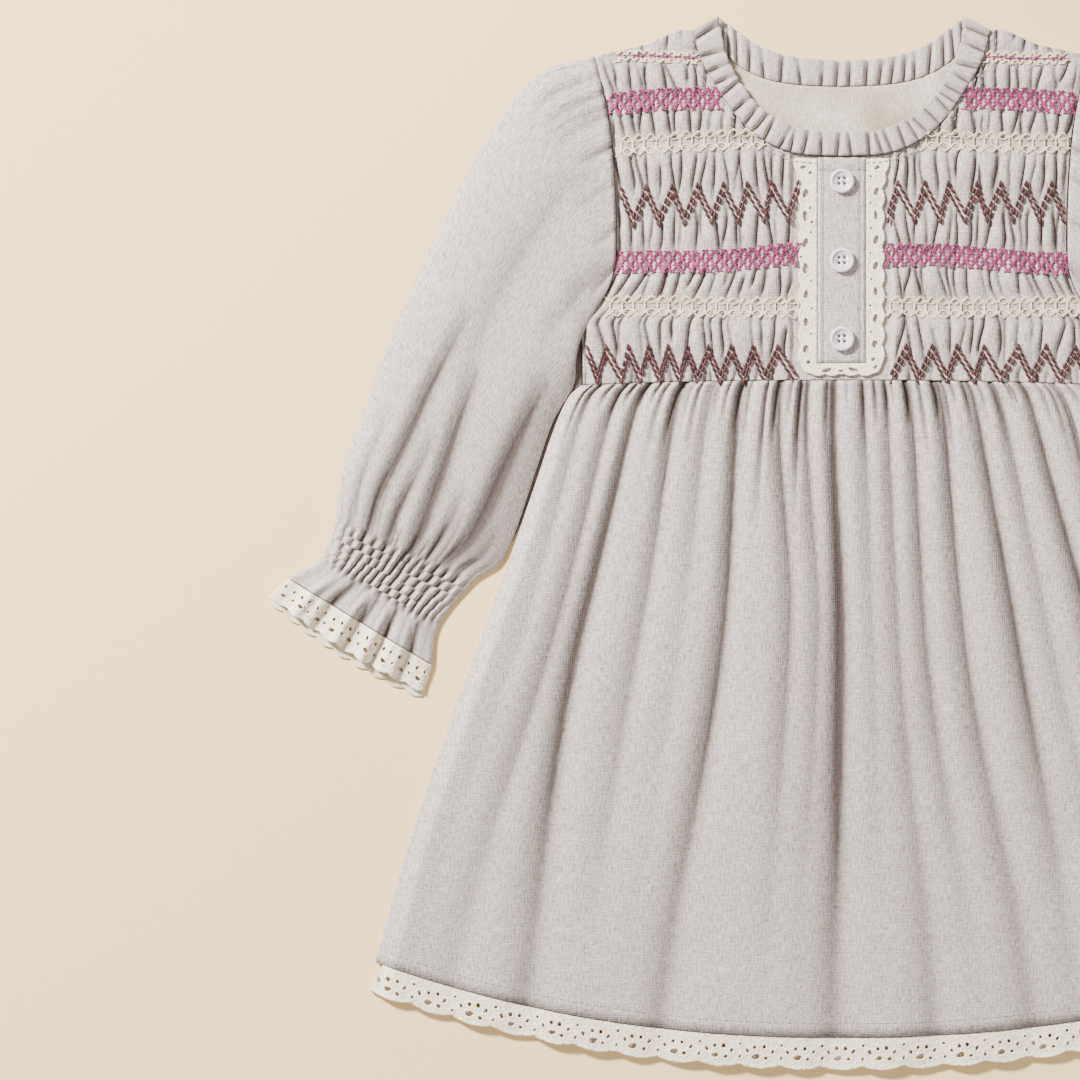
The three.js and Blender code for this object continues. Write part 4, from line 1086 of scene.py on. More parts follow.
def lace_net(outline, holes, spacing, seed):
    """Points, their heights over the strip and triangles of a flat lace, in mm."""
    outline = np.asarray(outline, float)
    random = np.random.default_rng(seed)
    rings = [ring_of(hole, 0.0) for hole in holes]
    border = np.concatenate([outline] + rings)
    guides = [(inset_of(outline, CORD_AT), CORD_HIGH), (inset_of(outline, CORD_END), 0.0)]
    guides += [(ring_of(hole, CORD_AT), CORD_HIGH) for hole in holes]
    guides += [(ring_of(hole, CORD_END), 0.0) for hole in holes]
    low, high = outline.min(0), outline.max(0)
    xs, ys = np.meshgrid(np.arange(low[0], high[0], spacing), np.arange(low[1], high[1], spacing))
    scatter = xyz(xs.ravel(), ys.ravel())
    scatter = scatter + random.uniform(-0.3, 0.3, scatter.shape) * spacing
    points, lift = [border], [np.full(len(border), -0.12)]
    taken = border
    for guide, high_at in guides + [(scatter, None)]:
        keep = inside_loop(guide, outline)
        for ring in rings:
            near = np.abs(guide - ring.mean(0)).max(axis=1) < 6.0
            if near.any():
                keep[near] &= ~inside_loop(guide[near], ring)
        guide = guide[keep]
        loose = high_at is None
        guide = guide[distance_to(guide, taken) > (0.55 * spacing if loose else 0.24)]
        points.append(guide)
        count = len(guide)
        lift.append(random.uniform(-0.06, 0.12, count) if loose else np.full(count, high_at))
        taken = np.concatenate([taken, guide])
    starts = np.cumsum([0, len(outline)] + [len(ring) for ring in rings])
    loops = [list(range(a, b)) for a, b in zip(starts[:-1], starts[1:])]
    everything = [Vector(p) for p in np.concatenate(points).tolist()]
    flat_points, _, faces, origin, _, _ = delaunay_2d_cdt(everything, [], loops, 2, 1e-6)
    lifts = np.concatenate(lift)
    at = np.array([lifts[o[0]] if o else 0.0 for o in origin])
    return np.array([list(p) for p in flat_points]), at, [list(face) for face in faces]


def lace_sheet(net, place, thick):
    """The flat net put onto the dress by `place`: points of both sides, and all faces."""
    flat_points, lift, faces = net
    base = place(flat_points[:, 0], flat_points[:, 1])
    top = base + xyz(0.0, 0.0, lift)
    bottom = base - [0, 0, thick]
    count = len(base)
    seen = {(a, b) for face in faces for a, b in zip(face, face[1:] + face[:1])}
    border = [(a, b) for a, b in seen if (b, a) not in seen]
    rim = [[a, a + count, b + count, b] for a, b in border]
    under = [[i + count for i in face[::-1]] for face in faces]
    return np.concatenate([top, bottom]), faces + under + rim


def scallops(start, end, outward, pitch, deep):
    """A run of scallops between two points, which bows outward."""
    start, end = np.array(start, float), np.array(end, float)
    count = max(1, round(float(np.linalg.norm(end - start)) / pitch))
    t = np.arange(count * 8) / (count * 8)
    bow = deep * np.abs(np.sin(np.pi * count * t))
    return start + np.outer(t, end - start) + np.outer(bow, outward)


def lay_lace(node, points, faces, painted_fold_shade=None):
    piece = finish_mesh(f"{node}_crochet", points, faces, crochet, painted_fold_shade=painted_fold_shade)
    dress_up(piece, [node])


print("a lace cord's crest is", CORD_HIGH, "mm high and", CORD_AT, "mm from its edge")

# %% [markdown]
# ### Lace round the placket
# One strip turns two corners, so it is a U here, with scallops on its outer side alone. Its
# eyelets were placed one by one, because a hand-crocheted strip repeats only roughly.

# %% Placket lace


def placket_lace_outline():
    """The U-shaped strip around the placket, anticlockwise from the foot's middle."""
    half, low, flare, corner, top, inner = 18.6, 77.6, 21.6, 4.5, 176.8, 11.3
    right = np.concatenate(
        [
            [[0.0, low - 0.4]],
            scallops((1, low), (half - corner, low), (0, -1), 7.0, 1.0),
            scallops((half - corner, low), (half, low + corner), (0.7, -0.7), 8.6, 1.2),
            scallops((half, low + corner), (half, 163), (1, 0), 8.6, 1.3),
            scallops((half, 163), (flare, top), (1, 0), 8.6, 1.0),
            [[flare, top], [inner + 5, top]],
            np.stack([np.full(46, inner), np.linspace(top, 82.5, 46)], -1),
            [[6.0, 82.5], [0.0, 82.5]],
        ]
    )
    left = right[1:-1][::-1] * [-1, 1]
    return np.concatenate([right, left])


PLACKET_EYELETS_BY = 1.22, 1.18  # wider and taller than the table, so that they show
# Columns: x, y, half width, half height, turn in degrees
PLACKET_EYELETS = [
    (-16.5, 160.4, 1.0, 1.7, -14), (-16.4, 150.0, 1.1, 1.9, 12), (-16.6, 137.7, 1.0, 1.8, -18),
    (-16.4, 125.9, 1.1, 2.1, 5), (-16.3, 114.1, 0.8, 1.6, -10), (-16.2, 101.3, 0.9, 1.7, 8),
    (-16.3, 89.0, 1.1, 1.6, -6), (-14.3, 153.8, 0.45, 0.5, 0), (-13.6, 147.3, 0.6, 0.5, 20),
    (-13.9, 142.6, 0.35, 0.4, 0), (-13.8, 120.3, 0.4, 0.45, 0), (-14.0, 96.0, 0.4, 0.4, 0),
    (-13.7, 107.6, 0.35, 0.4, 0), (-17.6, 172.6, 1.2, 0.6, 5), (-14.4, 170.0, 0.7, 0.55, 20),
    (16.1, 161.3, 0.9, 1.7, -12), (15.8, 150.4, 0.7, 1.7, 10), (15.9, 139.1, 1.0, 1.9, -8),
    (15.7, 127.2, 0.9, 1.6, -20), (15.8, 115.4, 0.8, 1.6, 12), (15.6, 103.1, 0.9, 1.5, -10),
    (15.4, 91.3, 1.2, 1.3, 30), (13.4, 156.0, 0.4, 0.45, 0), (13.6, 144.5, 0.4, 0.4, 0),
    (13.3, 133.0, 0.35, 0.4, 0), (13.8, 121.2, 0.4, 0.45, 0), (13.2, 109.0, 0.4, 0.4, 0),
    (13.6, 97.0, 0.4, 0.4, 0), (16.4, 172.4, 1.1, 0.6, 30), (13.4, 168.4, 0.5, 0.4, 0),
    (-6.7, 79.3, 1.7, 0.75, 14), (5.6, 79.4, 1.8, 0.75, -18), (-0.3, 79.0, 0.9, 0.45, 0),
    (-15.2, 83.0, 0.7, 0.8, 40), (14.6, 84.4, 0.9, 0.6, 30), (15.6, 80.8, 0.6, 0.8, -30),
]


def make_placket_lace():
    wider, taller = PLACKET_EYELETS_BY
    eyelets = [(x, y, wider * a, taller * b, turn) for x, y, a, b, turn in PLACKET_EYELETS]
    net = lace_net(placket_lace_outline(), eyelets, 1.15, 51)

    def place(x, y):
        return xyz(x, y, BODICE_FOOT + GAP + 0.9 + 0.8 * 0.12 * undulation(x, y, 11.0, 52))

    points, faces = lace_sheet(net, place, 0.85)
    lay_lace("placket_lace", points, faces)


make_placket_lace()

# %% [markdown]
# ### Lace at the hem
# Each scallop has the same eight eyelets, each a little moved and sized by a fixed seed. The
# front lace follows the folds of the skirt's hem, and the back lace lies flat below it.

# %% Hem lace
HEM_SCALLOPS = 23
HEM_DEEP = 12.4  # mm
HALF_HEM = float(skirt_width(0.0))
# In one scallop: place along it from -1 to 1, depth mm, half width, half height, turn
HEM_EYELETS = [
    (-0.62, 6.6, 0.55, 0.8, 28), (-0.24, 4.7, 0.6, 0.75, 10), (0.2, 4.6, 0.6, 0.75, -8),
    (0.6, 6.3, 0.55, 0.8, -28), (-0.16, 9.0, 1.35, 0.85, 8), (0.34, 9.6, 0.7, 0.55, -15),
    (-0.95, 3.2, 0.5, 0.45, 0), (-0.96, 9.3, 0.45, 0.6, 0),
]


def hem_lace_edge(a):
    """Depth of the scalloped edge at place a in mm along the hem."""
    u = a / HALF_HEM
    bows = np.abs(np.sin(np.pi * HEM_SCALLOPS * (u + 1) / 2))
    return HEM_DEEP + 1.2 * (1 - np.abs(u)) + 1.7 * bows


def hem_lace_net(seed, shift):
    random = np.random.default_rng(seed)
    a = np.linspace(-HALF_HEM, HALF_HEM, HEM_SCALLOPS * 10 + 1)
    outline = np.concatenate([xyz(a, -hem_lace_edge(a)), xyz(a[::-4], 0.0)])
    pitch = 2 * HALF_HEM / HEM_SCALLOPS
    holes = []
    for i in range(HEM_SCALLOPS):
        middle = -HALF_HEM + (i + 0.5) * pitch
        for along, deep, wide, tall, turn in HEM_EYELETS:
            jitter = random.uniform(-0.3, 0.3, 2)
            size = random.uniform(1.05, 1.45)
            x = middle + along * pitch / 2 + jitter[0] + shift
            if abs(x) < HALF_HEM - 1.8:
                holes.append((x, -deep - 0.6 + jitter[1], wide * size, tall * size, turn))
    return lace_net(outline, holes, 1.25, seed + 1)


def on_hem(a, depth):
    """The place on the dress of a point of the hem lace: along the hem, and how far below it."""
    share = -depth / hem_lace_edge(a)
    return a * (1 + share * 2.9 / HALF_HEM), hem_at(a / HALF_HEM) + depth - GAP, share


def hem_back_place(a, depth):
    x, y, _ = on_hem(a, depth)
    return xyz(x, y, 1.1)


def hem_front_place(a, depth):
    """The front lace follows the folds at the skirt's hem, and falls off towards its edge."""
    x, y, share = on_hem(a, depth)
    u = np.clip(a / HALF_HEM, -1, 1)
    cloth = skirt_point(u[None, :], np.zeros((1, len(u))))[0][0, :, 2]
    ripple = 0.3 * share * undulation(x, 3 * y, 30.0, 57)
    return xyz(x, y, np.maximum(cloth - 0.6 - share, 2.5) + ripple)


for part, place, seed, shift, thick, under in (
    ("front", hem_front_place, 61, 0.0, 0.8, "hem_lace_back"),
    ("back", hem_back_place, 63, 4.0, 1.1, "floor"),
):
    points, faces = lace_sheet(hem_lace_net(seed, shift), place, thick)
    lay_lace(f"hem_lace_{part}", points, faces)

# %% [markdown]
# ### Lace at the cuffs
# The lace goes round the flounce, and lies as two layers. The upper one starts at the height of
# the sleeve's end, so it has the flounce's waves. The lower one reaches a little past it.

# %% Cuff lace
CUFF_SCALLOPS = 9
CUFF_LONG, CUFF_DEEP = 80.0, 12.0  # the flat cuff lace, mm
# Place along a scallop from its middle, depth mm, half width, half height
CUFF_EYELETS = [
    (-0.24, 4.2, 0.6, 0.8), (0.25, 4.0, 0.55, 0.75), (0.0, 8.3, 1.25, 0.8), (0.5, 8.0, 0.5, 0.6),
]


def cuff_lace_net(seed):
    random = np.random.default_rng(seed)
    a = np.linspace(0, CUFF_LONG, CUFF_SCALLOPS * 8 + 1)
    bows = np.abs(np.sin(np.pi * CUFF_SCALLOPS * a / CUFF_LONG))
    outline = np.concatenate([xyz(a, -CUFF_DEEP - 1.2 * bows), xyz(a[::-2], 0.0)])
    pitch = CUFF_LONG / CUFF_SCALLOPS
    holes = []
    for i in range(CUFF_SCALLOPS):
        for along, deep, wide, tall in CUFF_EYELETS:
            x = (i + 0.5 + along) * pitch + random.uniform(-0.4, 0.4)
            if 1.8 < x < CUFF_LONG - 1.8:
                y, turn = random.uniform(-0.4, 0.4) - deep, random.uniform(-20, 20)
                holes.append((x, y, wide, tall, turn))
    return lace_net(outline, holes, 1.25, seed + 1)


def cuff_place(a, depth, side, seed, reach, under):
    """Lays the cuff lace between the sleeve's end and the line where the lace ends."""
    t, s = a / CUFF_LONG, -depth * reach / CUFF_DEEP
    bulge = 2.6 * s * np.sin(np.pi * t)
    x = lerp(lerp(254.4, 188.1, t), lerp(262.1, 191.9, t), s) + 0.5 * bulge
    y = lerp(lerp(-16.3, -56.3, t), lerp(-24.0, -68.0, t), s) - 0.86 * bulge
    if under:
        return xyz(side * x, y, 0.85)
    t = np.clip(t, 0, 1)
    end = sleeve_top(np.full((1, len(t)), 10.0), t[None, :], seed)[0][0]
    return xyz(side * x, y, np.maximum(end - 0.9 * s * sleeve_dome(t), 1.75))


def make_cuff_lace(side, word, seed):
    """Two layers of lace, the upper one waved as the flounce is and the lower one flat."""
    points, faces, folds = [], [], []
    for under, reach, net_seed in ((False, 1.0, seed + 77), (True, 1.22, seed + 70)):
        net = cuff_lace_net(net_seed)

        def place(a, depth):
            return cuff_place(a, depth, side, seed, reach, under)

        # Painted shade in the hollows of the flounce's waves.
        shade = 0.5 * np.clip(-flounce_wave(net[0][:, 0] / CUFF_LONG, seed), 0, 1) ** 4
        sheet, sheet_faces = lace_sheet(net, place, 0.8)
        faces += [[i + len(points) for i in face[::-side]] for face in sheet_faces]
        points += sheet.tolist()
        # The lower layer gets a flat painted shade of 0.25, for the shadow of the upper one.
        folds += 2 * (len(shade) * [0.25] if under else shade.tolist())
    lay_lace(f"cuff_lace_{word}", points, faces, folds)


for side, word, seed in SIDES:
    make_cuff_lace(side, word, seed)

# %% [markdown]
# ## Thread by Geometry Nodes
# Two node trees lay all the thread. The first turns lines into laid thread: a tube that follows
# each line, with a slight wander. The second sets one rounded stitch after another along the
# lines, turned along them, with a slant and a little unevenness from a fixed seed. Both read
# lines that lie on the cloth, and both end in plain mesh, with instances made real.

# %% Thread trees


def new_tree(name, sizes):
    """A tree with a named input for each size, and the outputs of its input node."""
    tree = bpy.data.node_groups.new(name, "GeometryNodeTree")
    for in_out in ("INPUT", "OUTPUT"):
        tree.interface.new_socket("Geometry", in_out=in_out, socket_type="NodeSocketGeometry")
    for label, value in sizes.items():
        kind = "NodeSocketInt" if isinstance(value, int) else "NodeSocketFloat"
        tree.interface.new_socket(label, in_out="INPUT", socket_type=kind).default_value = value
    tree.interface.new_socket("Material", in_out="INPUT", socket_type="NodeSocketMaterial")
    return tree, add_node(tree, "NodeGroupInput").outputs


def end_tree(tree, given, geometry):
    plain = add_node(tree, "GeometryNodeRealizeInstances", {"Geometry": geometry})
    smooth = add_node(tree, "GeometryNodeSetShadeSmooth", {"Geometry": plain})
    inputs = {"Geometry": smooth, "Material": given["Material"]}
    coloured = add_node(tree, "GeometryNodeSetMaterial", inputs)
    add_node(tree, "NodeGroupOutput", {"Geometry": coloured})
    return tree


def laid_thread_tree():
    sizes = {"Radius": 0.0004, "Wander": 0.0001, "Sides": 6, "Seed": 0}
    tree, given = new_tree("laid_thread", sizes)
    inputs = {"Min": (-1.0, -1.0, -0.4), "Max": (1.0, 1.0, 0.4), "Seed": given["Seed"]}
    away = add_node(tree, "FunctionNodeRandomValue", inputs, data_type="FLOAT_VECTOR").outputs[0]
    inputs = {0: away, "Scale": given["Wander"]}
    offset = add_node(tree, "ShaderNodeVectorMath", inputs, operation="SCALE")
    inputs = {"Geometry": given["Geometry"], "Offset": offset}
    moved = add_node(tree, "GeometryNodeSetPosition", inputs)
    lines = add_node(tree, "GeometryNodeMeshToCurve", {"Mesh": moved})
    inputs = {"Resolution": given["Sides"], "Radius": 1.0}
    ring = add_node(tree, "GeometryNodeCurvePrimitiveCircle", inputs)
    inputs = {"Curve": lines, "Profile Curve": ring, "Scale": given["Radius"], "Fill Caps": True}
    return end_tree(tree, given, add_node(tree, "GeometryNodeCurveToMesh", inputs))


def stitch_tree():
    sizes = {"Pitch": 0.003, "Length": 0.0026, "Radius": 0.0004, "Slant": 0.15}
    sizes |= {"Unevenness": 0.12, "Sides": 6, "Seed": 0}
    tree, given = new_tree("row_of_stitches", sizes)
    lines = add_node(tree, "GeometryNodeMeshToCurve", {"Mesh": given["Geometry"]})
    inputs = {"Curve": lines, "Length": given["Pitch"]}
    spots = add_node(tree, "GeometryNodeCurveToPoints", inputs, mode="LENGTH").outputs
    inputs = {"Vector": spots["Tangent"]}
    along = add_node(tree, "FunctionNodeAlignRotationToVector", inputs, axis="X")
    inputs = {2: -1.0, 3: 1.0, "Seed": given["Seed"]}
    spread = add_node(tree, "FunctionNodeRandomValue", inputs, data_type="FLOAT").outputs[1]
    parts = {0: spread, 1: given["Unevenness"], 2: given["Slant"]}
    lean = add_node(tree, "ShaderNodeMath", parts, operation="MULTIPLY_ADD")
    inputs = {"Rotation": along, "Rotate By": add_node(tree, "ShaderNodeCombineXYZ", {"Z": lean})}
    spun = add_node(tree, "FunctionNodeRotateRotation", inputs, rotation_space="GLOBAL")
    parts = {0: lean, 1: 0.4, 2: 0.5}  # half the length, and longer where it leans more
    size = add_node(tree, "ShaderNodeMath", parts, operation="MULTIPLY_ADD")
    half = add_node(tree, "ShaderNodeMath", {0: given["Length"], 1: size}, operation="MULTIPLY")
    inputs = {"X": half, "Y": given["Radius"], "Z": given["Radius"]}
    scale = add_node(tree, "ShaderNodeCombineXYZ", inputs)
    inputs = {"Segments": given["Sides"], "Rings": 5, "Radius": 1.0}
    stitch = add_node(tree, "GeometryNodeMeshUVSphere", inputs)
    inputs = {"Geometry": stitch, "Rotation": (0.0, np.pi / 2, 0.0)}
    inputs = {"Instance": add_node(tree, "GeometryNodeTransform", inputs)}
    inputs |= {"Points": spots["Points"], "Rotation": spun, "Scale": scale}
    return end_tree(tree, given, add_node(tree, "GeometryNodeInstanceOnPoints", inputs))


def grow(name, tree, lines, slot, material, **values):
    """Runs a tree on lines, given as arrays of points in mm, and keeps the plain mesh."""
    points, edges = [], []
    for line in lines:
        first = len(points)
        points += [list(p) for p in line]
        edges += [(i, i + 1) for i in range(first, len(points) - 1)]
    source = bpy.data.meshes.new(name + "_lines")
    source.from_pydata((np.array(points) * MM).tolist(), edges, [])
    holder = bpy.data.objects.new(name + "_lines", source)
    bpy.context.scene.collection.objects.link(holder)
    modifier = holder.modifiers.new("thread", "NODES")
    modifier.node_group = tree
    keys = {s.name: s.identifier for s in tree.interface.items_tree if s.in_out == "INPUT"}
    for label, value in values.items():
        modifier[keys[label]] = value
    modifier[keys["Material"]] = material
    holder.update_tag()
    ready = holder.evaluated_get(bpy.context.evaluated_depsgraph_get())
    mesh = bpy.data.meshes.new_from_object(ready)
    mesh.name = name
    bpy.data.objects.remove(holder)
    piece = bpy.data.objects.new(name, mesh)
    bpy.context.scene.collection.objects.link(piece)
    dress_up(piece)


THREAD = laid_thread_tree()
STITCHES = stitch_tree()
print("trees:", THREAD.name, STITCHES.name)

# %% [markdown]
# ## Embroidery on the smocking
# Smocking stitches pick up the tops of the pleats, so the thread rides over the grooves: it
# dips only part of the way into them. Each row is a traditional stitch, worked from its sizes.
# Trellis in pink is three zigzags that meet in diamonds. Honeycomb in cream is two mirrored
# zigzags with short links. The burgundy zigzag has two lines of slanting stitches with a pale
# strand between them. A low trellis in cream and pink runs along each shoulder.

# %% Embroidery stitches


def on_bodice(x, y, lift):
    """Puts places on the smocked cloth: near the tops of the pleats, raised by lift in mm."""
    x, y = np.atleast_1d(np.asarray(x, float)), np.atleast_1d(np.asarray(y, float))
    cloth = bodice_surface(x[None, :], y[None, :])[0][0]
    edge = ease(np.abs(x), bodice_side(y) - 4.0, bodice_side(y))
    tops = BODICE_FOOT + PLEAT_HIGH * puff_at(y) * (1 - 0.7 * edge) - 0.4 * edge
    return xyz(x, y, lerp(cloth, tops, 0.6) + lift)


def along_corners(corners, step=0.95):
    """Evenly spaced points along straight runs between corners, given as x, y pairs in mm."""
    corners = np.asarray(corners, float)
    parts = []
    for start, end in zip(corners[:-1], corners[1:]):
        count = max(2, round(float(np.linalg.norm(end - start)) / step))
        parts.append(start + np.outer(np.arange(count) / count, end - start))
    return np.concatenate(parts + [corners[-1:]])


def drawn_on(corners, lift, step=0.95):
    flat_line = along_corners(corners, step)
    return on_bodice(flat_line[:, 0], flat_line[:, 1], lift)


def spaced(start, end, pitch, random, jitter):
    """Places about a pitch apart from start to end, each moved a little."""
    count = max(2, round(abs(end - start) / pitch))
    places = np.linspace(start, end, count + 1)
    places[1:-1] += random.uniform(-jitter, jitter, count - 1)
    return places


def row_height(x, y, rise):
    """A row's height, which climbs by rise in mm from the armhole to the placket."""
    return y + rise * np.clip(1 - (np.abs(x) - 20) / 85, 0, 1)


def trellis(y, rise, start, end, seed, tall=3.2, pitch=4.3):
    """Three stacked zigzags whose points meet, as lines, with the small stitches at the points."""
    random = np.random.default_rng(seed)
    lines, knots = [], []
    half = spaced(start, end, pitch / 2, random, 0.22)
    middle = row_height(half, y, rise) + 0.7 * np.sin(half / 13.0 + seed)
    for level in (-1, 0, 1):
        corners = []
        for i, x in enumerate(half):
            up = 1 if (i + level) % 2 == 0 else -1
            top = middle[i] + level * tall + up * tall / 2 + random.uniform(-0.3, 0.3)
            corners.append((x, top))
            tilted = top + random.uniform(-0.2, 0.2)
            knots.append(drawn_on([(x - 0.75, top), (x + 0.75, tilted)], 0.55, 0.5))
        lines.append(drawn_on(corners, 0.38 + 0.05 * level))
        lines.append(drawn_on([(a + 0.5, b + 0.15) for a, b in corners], 0.3))
    return lines, knots


def honeycomb(y, rise, start, end, seed, tall=9.5, pitch=5.4):
    """Mirrored zigzags along the top and foot, joined from valley to valley by crossing links."""
    random = np.random.default_rng(seed)
    lines, knots = [], []
    half = spaced(start, end, pitch / 2, random, 0.25)
    middle = row_height(half, y, rise) + 0.6 * np.sin(half / 17.0 + seed)
    valley, crest, inner = 0.27 * tall, 0.5 * tall, 0.13 * tall
    for side in (1, -1):
        corners = []
        for i, x in enumerate(half):
            high = valley if i % 2 else crest
            corners.append((x, middle[i] + side * high + random.uniform(-0.3, 0.3)))
        lines.append(drawn_on(corners, 0.3))
        lines.append(drawn_on([(a + 0.35, b - 0.3) for a, b in corners], 0.22))
    for i, (x, y_at) in enumerate(zip(half, middle)):
        if i % 2:
            lean = random.uniform(0.25, 0.6)
            for way, lift in ((-1, 0.34), (1, 0.26)):
                ends = x + way * lean
                link = [(ends, y_at + valley), (x - 0.2 * way, y_at), (ends, y_at - valley)]
                lines.append(drawn_on(link, lift))
            for top in (y_at + valley, y_at - valley):
                knots.append(drawn_on([(x - 0.8, top), (x + 0.8, top)], 0.42, 0.5))
        elif 0 < i < len(half) - 1:
            for level in (inner, -inner):
                foot = y_at + 2 * level
                arch = [(half[i - 1], foot), (x, y_at + level), (half[i + 1], foot)]
                lines.append(drawn_on(arch, 0.18))
    return lines, knots


def zigzag(corners, apart, seed):
    """Arms of a zigzag as two lines of stitches, and the strand between them."""
    random = np.random.default_rng(seed)
    arms = []
    for shift in (0.0, -apart):
        for (x0, y0), (x1, y1) in zip(corners[:-1], corners[1:]):
            a = np.array([x0, y0 + shift + random.uniform(-0.25, 0.25)])
            b = np.array([x1, y1 + shift + random.uniform(-0.25, 0.25)])
            along = (b - a) / float(np.linalg.norm(b - a))
            arms.append(drawn_on([a + 1.0 * along, b - 0.6 * along], 0.55))
    return arms, drawn_on([(x, y - apart / 2) for x, y in corners], 0.05)


print("zigzags ride over", len(STITCH_ROWS) - 1, "bands of pleats")

# %% [markdown]
# ### The rows of embroidery
# The rows lie at the heights where the smocking is drawn in, or on the puff between. The
# burgundy zigzag is uneven on the real dress, so the places of its points are a table.

# %% Rows of embroidery
# x of the crests and of the troughs, mm, from left to right on the seen left half
UPPER_CRESTS = [-101.5, -89.9, -78.1, -66.3, -54.5, -43.6, -32.6, -19.9]
UPPER_TROUGHS = [-95.8, -84.0, -72.3, -59.9, -47.7, -35.8, -24.9]
UPPER_RIGHT_CRESTS = [25.6, 37.9, 48.8, 62.0, 72.9, 84.6, 96.2]
UPPER_RIGHT_TROUGHS = [21.0, 33.3, 45.1, 56.5, 66.5, 78.6, 90.5, 101.8]
LOWER_CRESTS = [-117.0, -108.4, -98.1, -89.0, -79.9, -71.2, -61.3, -50.9, -41.0, -29.5]
LOWER_TROUGHS = [-112.3, -101.2, -92.5, -83.8, -74.6, -66.4, -56.1, -45.4, -35.5, -21.3]
LOWER_RIGHT_CRESTS = [29.4, 41.3, 52.7, 65.1, 80.9, 93.6, 107.0, 117.0]
LOWER_RIGHT_TROUGHS = [22.5, 35.3, 48.0, 60.8, 72.6, 86.9, 100.4, 112.4]


def corners_of(crests, troughs, high, low):
    return sorted([(x, high) for x in crests] + [(x, low) for x in troughs])


ZIGZAGS = [
    corners_of(UPPER_CRESTS, UPPER_TROUGHS, 165.0, 151.0),
    corners_of(UPPER_RIGHT_CRESTS, UPPER_RIGHT_TROUGHS, 165.6, 151.6),
    corners_of(LOWER_CRESTS, LOWER_TROUGHS, 90.6, 77.6),
    corners_of(LOWER_RIGHT_CRESTS, LOWER_RIGHT_TROUGHS, 90.6, 77.6),
]
ZIGZAGS[0] = [(x, y + 0.035 * (x + 55)) for x, y in ZIGZAGS[0]]  # this one climbs a little
# Columns of each row: y, how far it climbs, start x, end x, random seed
TRELLIS_ROWS = [
    (202.4, 2.6, -107.0, -56.0, 1), (202.4, 2.6, 56.0, 107.0, 2),
    (127.8, 4.4, -104.0, -19.8, 3), (128.6, 4.2, 19.8, 104.0, 4),
]
HONEYCOMB_ROWS = [
    (182.8, 3.0, -104.0, -36.0, 5), (184.0, 1.0, 36.0, 104.0, 6),
    (108.3, 0.6, -109.0, -19.8, 7), (108.3, 0.6, 19.8, 109.0, 8),
]
SHOULDER_ROWS = [(223.0, 0.0, -103.0, -66.0, 9), (223.0, 0.0, 66.0, 103.0, 10)]
pink_lines, pink_knots, cream_lines, cream_knots, red_arms, pale = [], [], [], [], [], []
for stitch, rows, all_lines, all_knots in (
    (trellis, TRELLIS_ROWS, pink_lines, pink_knots),
    (honeycomb, HONEYCOMB_ROWS, cream_lines, cream_knots),
):
    for row in rows:
        lines, knots = stitch(*row)
        all_lines += lines
        all_knots += knots
for row in SHOULDER_ROWS:
    lines, knots = trellis(*row, tall=1.7, pitch=3.8)
    cream_lines += lines[:2] + lines[4:]
    pink_lines += lines[2:4]
    cream_knots += knots[::3]
for seed, corners in enumerate(ZIGZAGS, 81):
    arms, strand = zigzag(corners, 4.3, seed)
    red_arms += arms
    pale.append(strand)

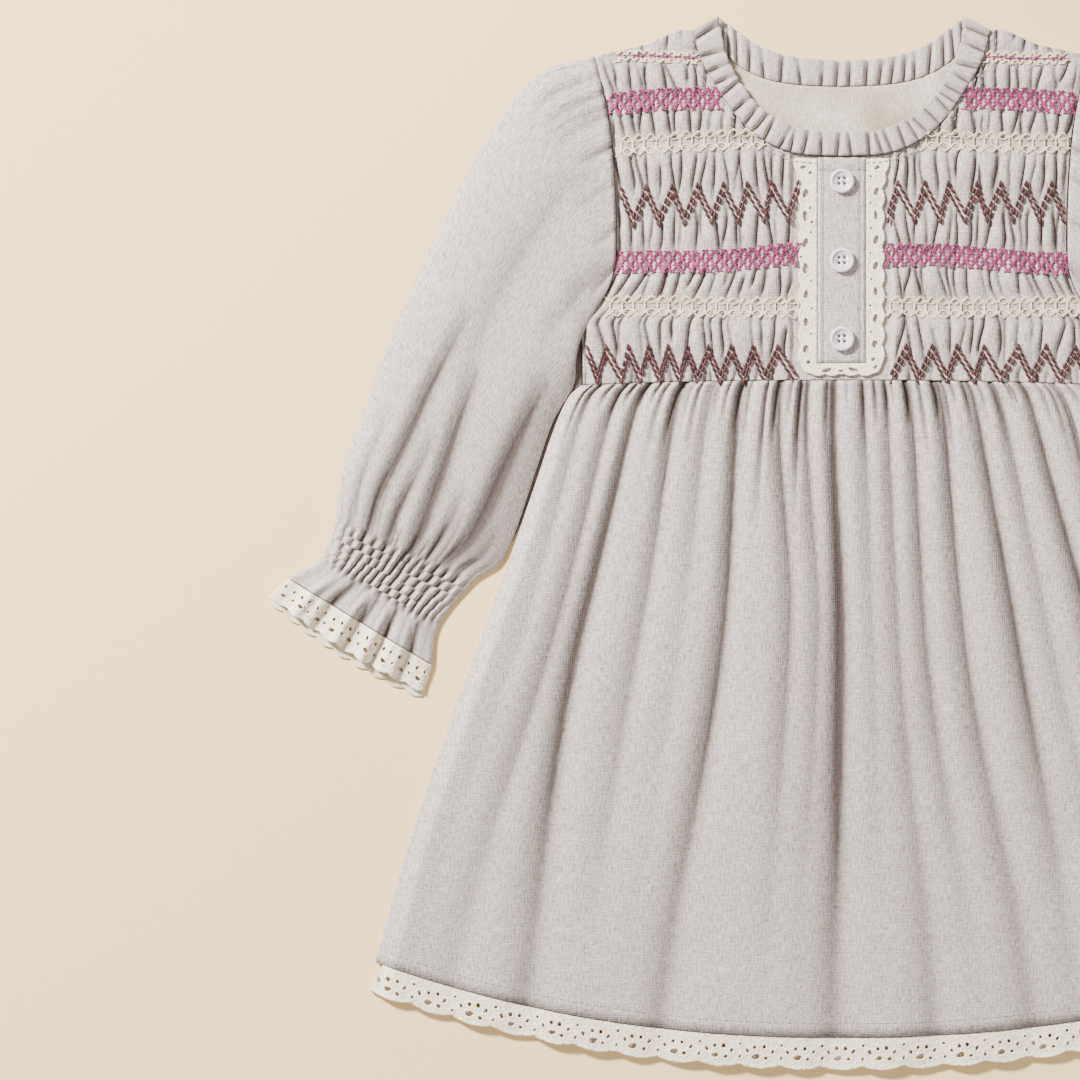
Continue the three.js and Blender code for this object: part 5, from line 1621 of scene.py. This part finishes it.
# Columns: name, tree, lines, colour, material, and the tree's sizes in metres
for name, tree, lines, colour, material, sizes in (
    ("trellis_thread", THREAD, pink_lines, "pink", pink,
     {"Radius": 0.00036, "Wander": 0.00011, "Seed": 1}),
    ("trellis_knots", STITCHES, pink_knots, "pink", pink,
     {"Pitch": 0.0014, "Length": 0.0017, "Radius": 0.00042, "Seed": 2}),
    ("honeycomb_thread", THREAD, cream_lines, "cream", cream,
     {"Radius": 0.00028, "Wander": 0.00012, "Seed": 3}),
    ("honeycomb_knots", STITCHES, cream_knots, "cream", cream,
     {"Pitch": 0.0015, "Length": 0.0017, "Radius": 0.00032, "Seed": 4}),
    ("zigzag_stitches", STITCHES, red_arms, "burgundy", burgundy,
     {"Pitch": 0.0029, "Length": 0.003, "Radius": 0.00072, "Slant": 0.16, "Unevenness": 0.1,
      "Sides": 8, "Seed": 5}),
    ("zigzag_strand", THREAD, pale, "cream", cream,
     {"Radius": 0.0002, "Wander": 0.00014, "Seed": 6}),
):
    grow(f"{name}_{colour}", tree, lines, f"thread_{colour}", material, **sizes)

# %% [markdown]
# ## Seams and stitching
# Sewing stitches about 2.2 to 2.4 mm long hold the hem, the placket and the neck frill. The
# hem's run follows the folds of the skirt, and two rows follow the neck seam.

# %% Sewing stitches


def on_skirt(u, v, lift):
    points = skirt_point(np.atleast_1d(u)[None, :], np.atleast_1d(v)[None, :])[0][0]
    return points + [0, 0, lift]


def hem_line():
    u = np.linspace(-0.97, 0.97, 520)
    return on_skirt(u, 0.021 + 0 * u, 0.06)


def neck_lines():
    """Two rows just outside the front neck seam, on the bodice."""
    t = np.linspace(-0.96, 0.96, 260)
    x, y = (smooth_curve(FRONT_NECK, 0, k)(np.abs(t)) for k in (1, 2))
    x = x * np.sign(t)
    normal = xyz(np.gradient(y), -np.gradient(x))
    normal /= np.linalg.norm(normal, axis=1, keepdims=True)
    return [on_bodice(x + normal[:, 0] * off, y + normal[:, 1] * off, 0.15) for off in (1.3, 3.4)]


def placket_lines():
    y, x = np.linspace(84.5, 175.5, 120), np.linspace(-10.3, 10.3, 30)
    sides = [xyz(side, y, 4.78) for side in (-PLACKET_SEWN, PLACKET_SEWN)]
    return sides + [xyz(x, PLACKET_HEAD + 0.02 * x, 4.85)]


# Columns: name, lines, pitch, length and radius in metres, unevenness, random seed
for name, lines, pitch, length, radius, uneven, seed in (
    ("hem", [hem_line()], 0.0032, 0.0024, 0.00022, 0.05, 11),
    ("neck", neck_lines(), 0.0029, 0.0022, 0.0002, 0.06, 12),
    ("placket", placket_lines(), 0.0029, 0.0022, 0.0002, 0.05, 13),
):
    sizes = {"Pitch": pitch, "Length": length, "Radius": radius, "Unevenness": uneven}
    name = f"{name}_stitches_linen"
    grow(name, STITCHES, lines, "linen", sewing, **sizes, Slant=0.0, Seed=seed)
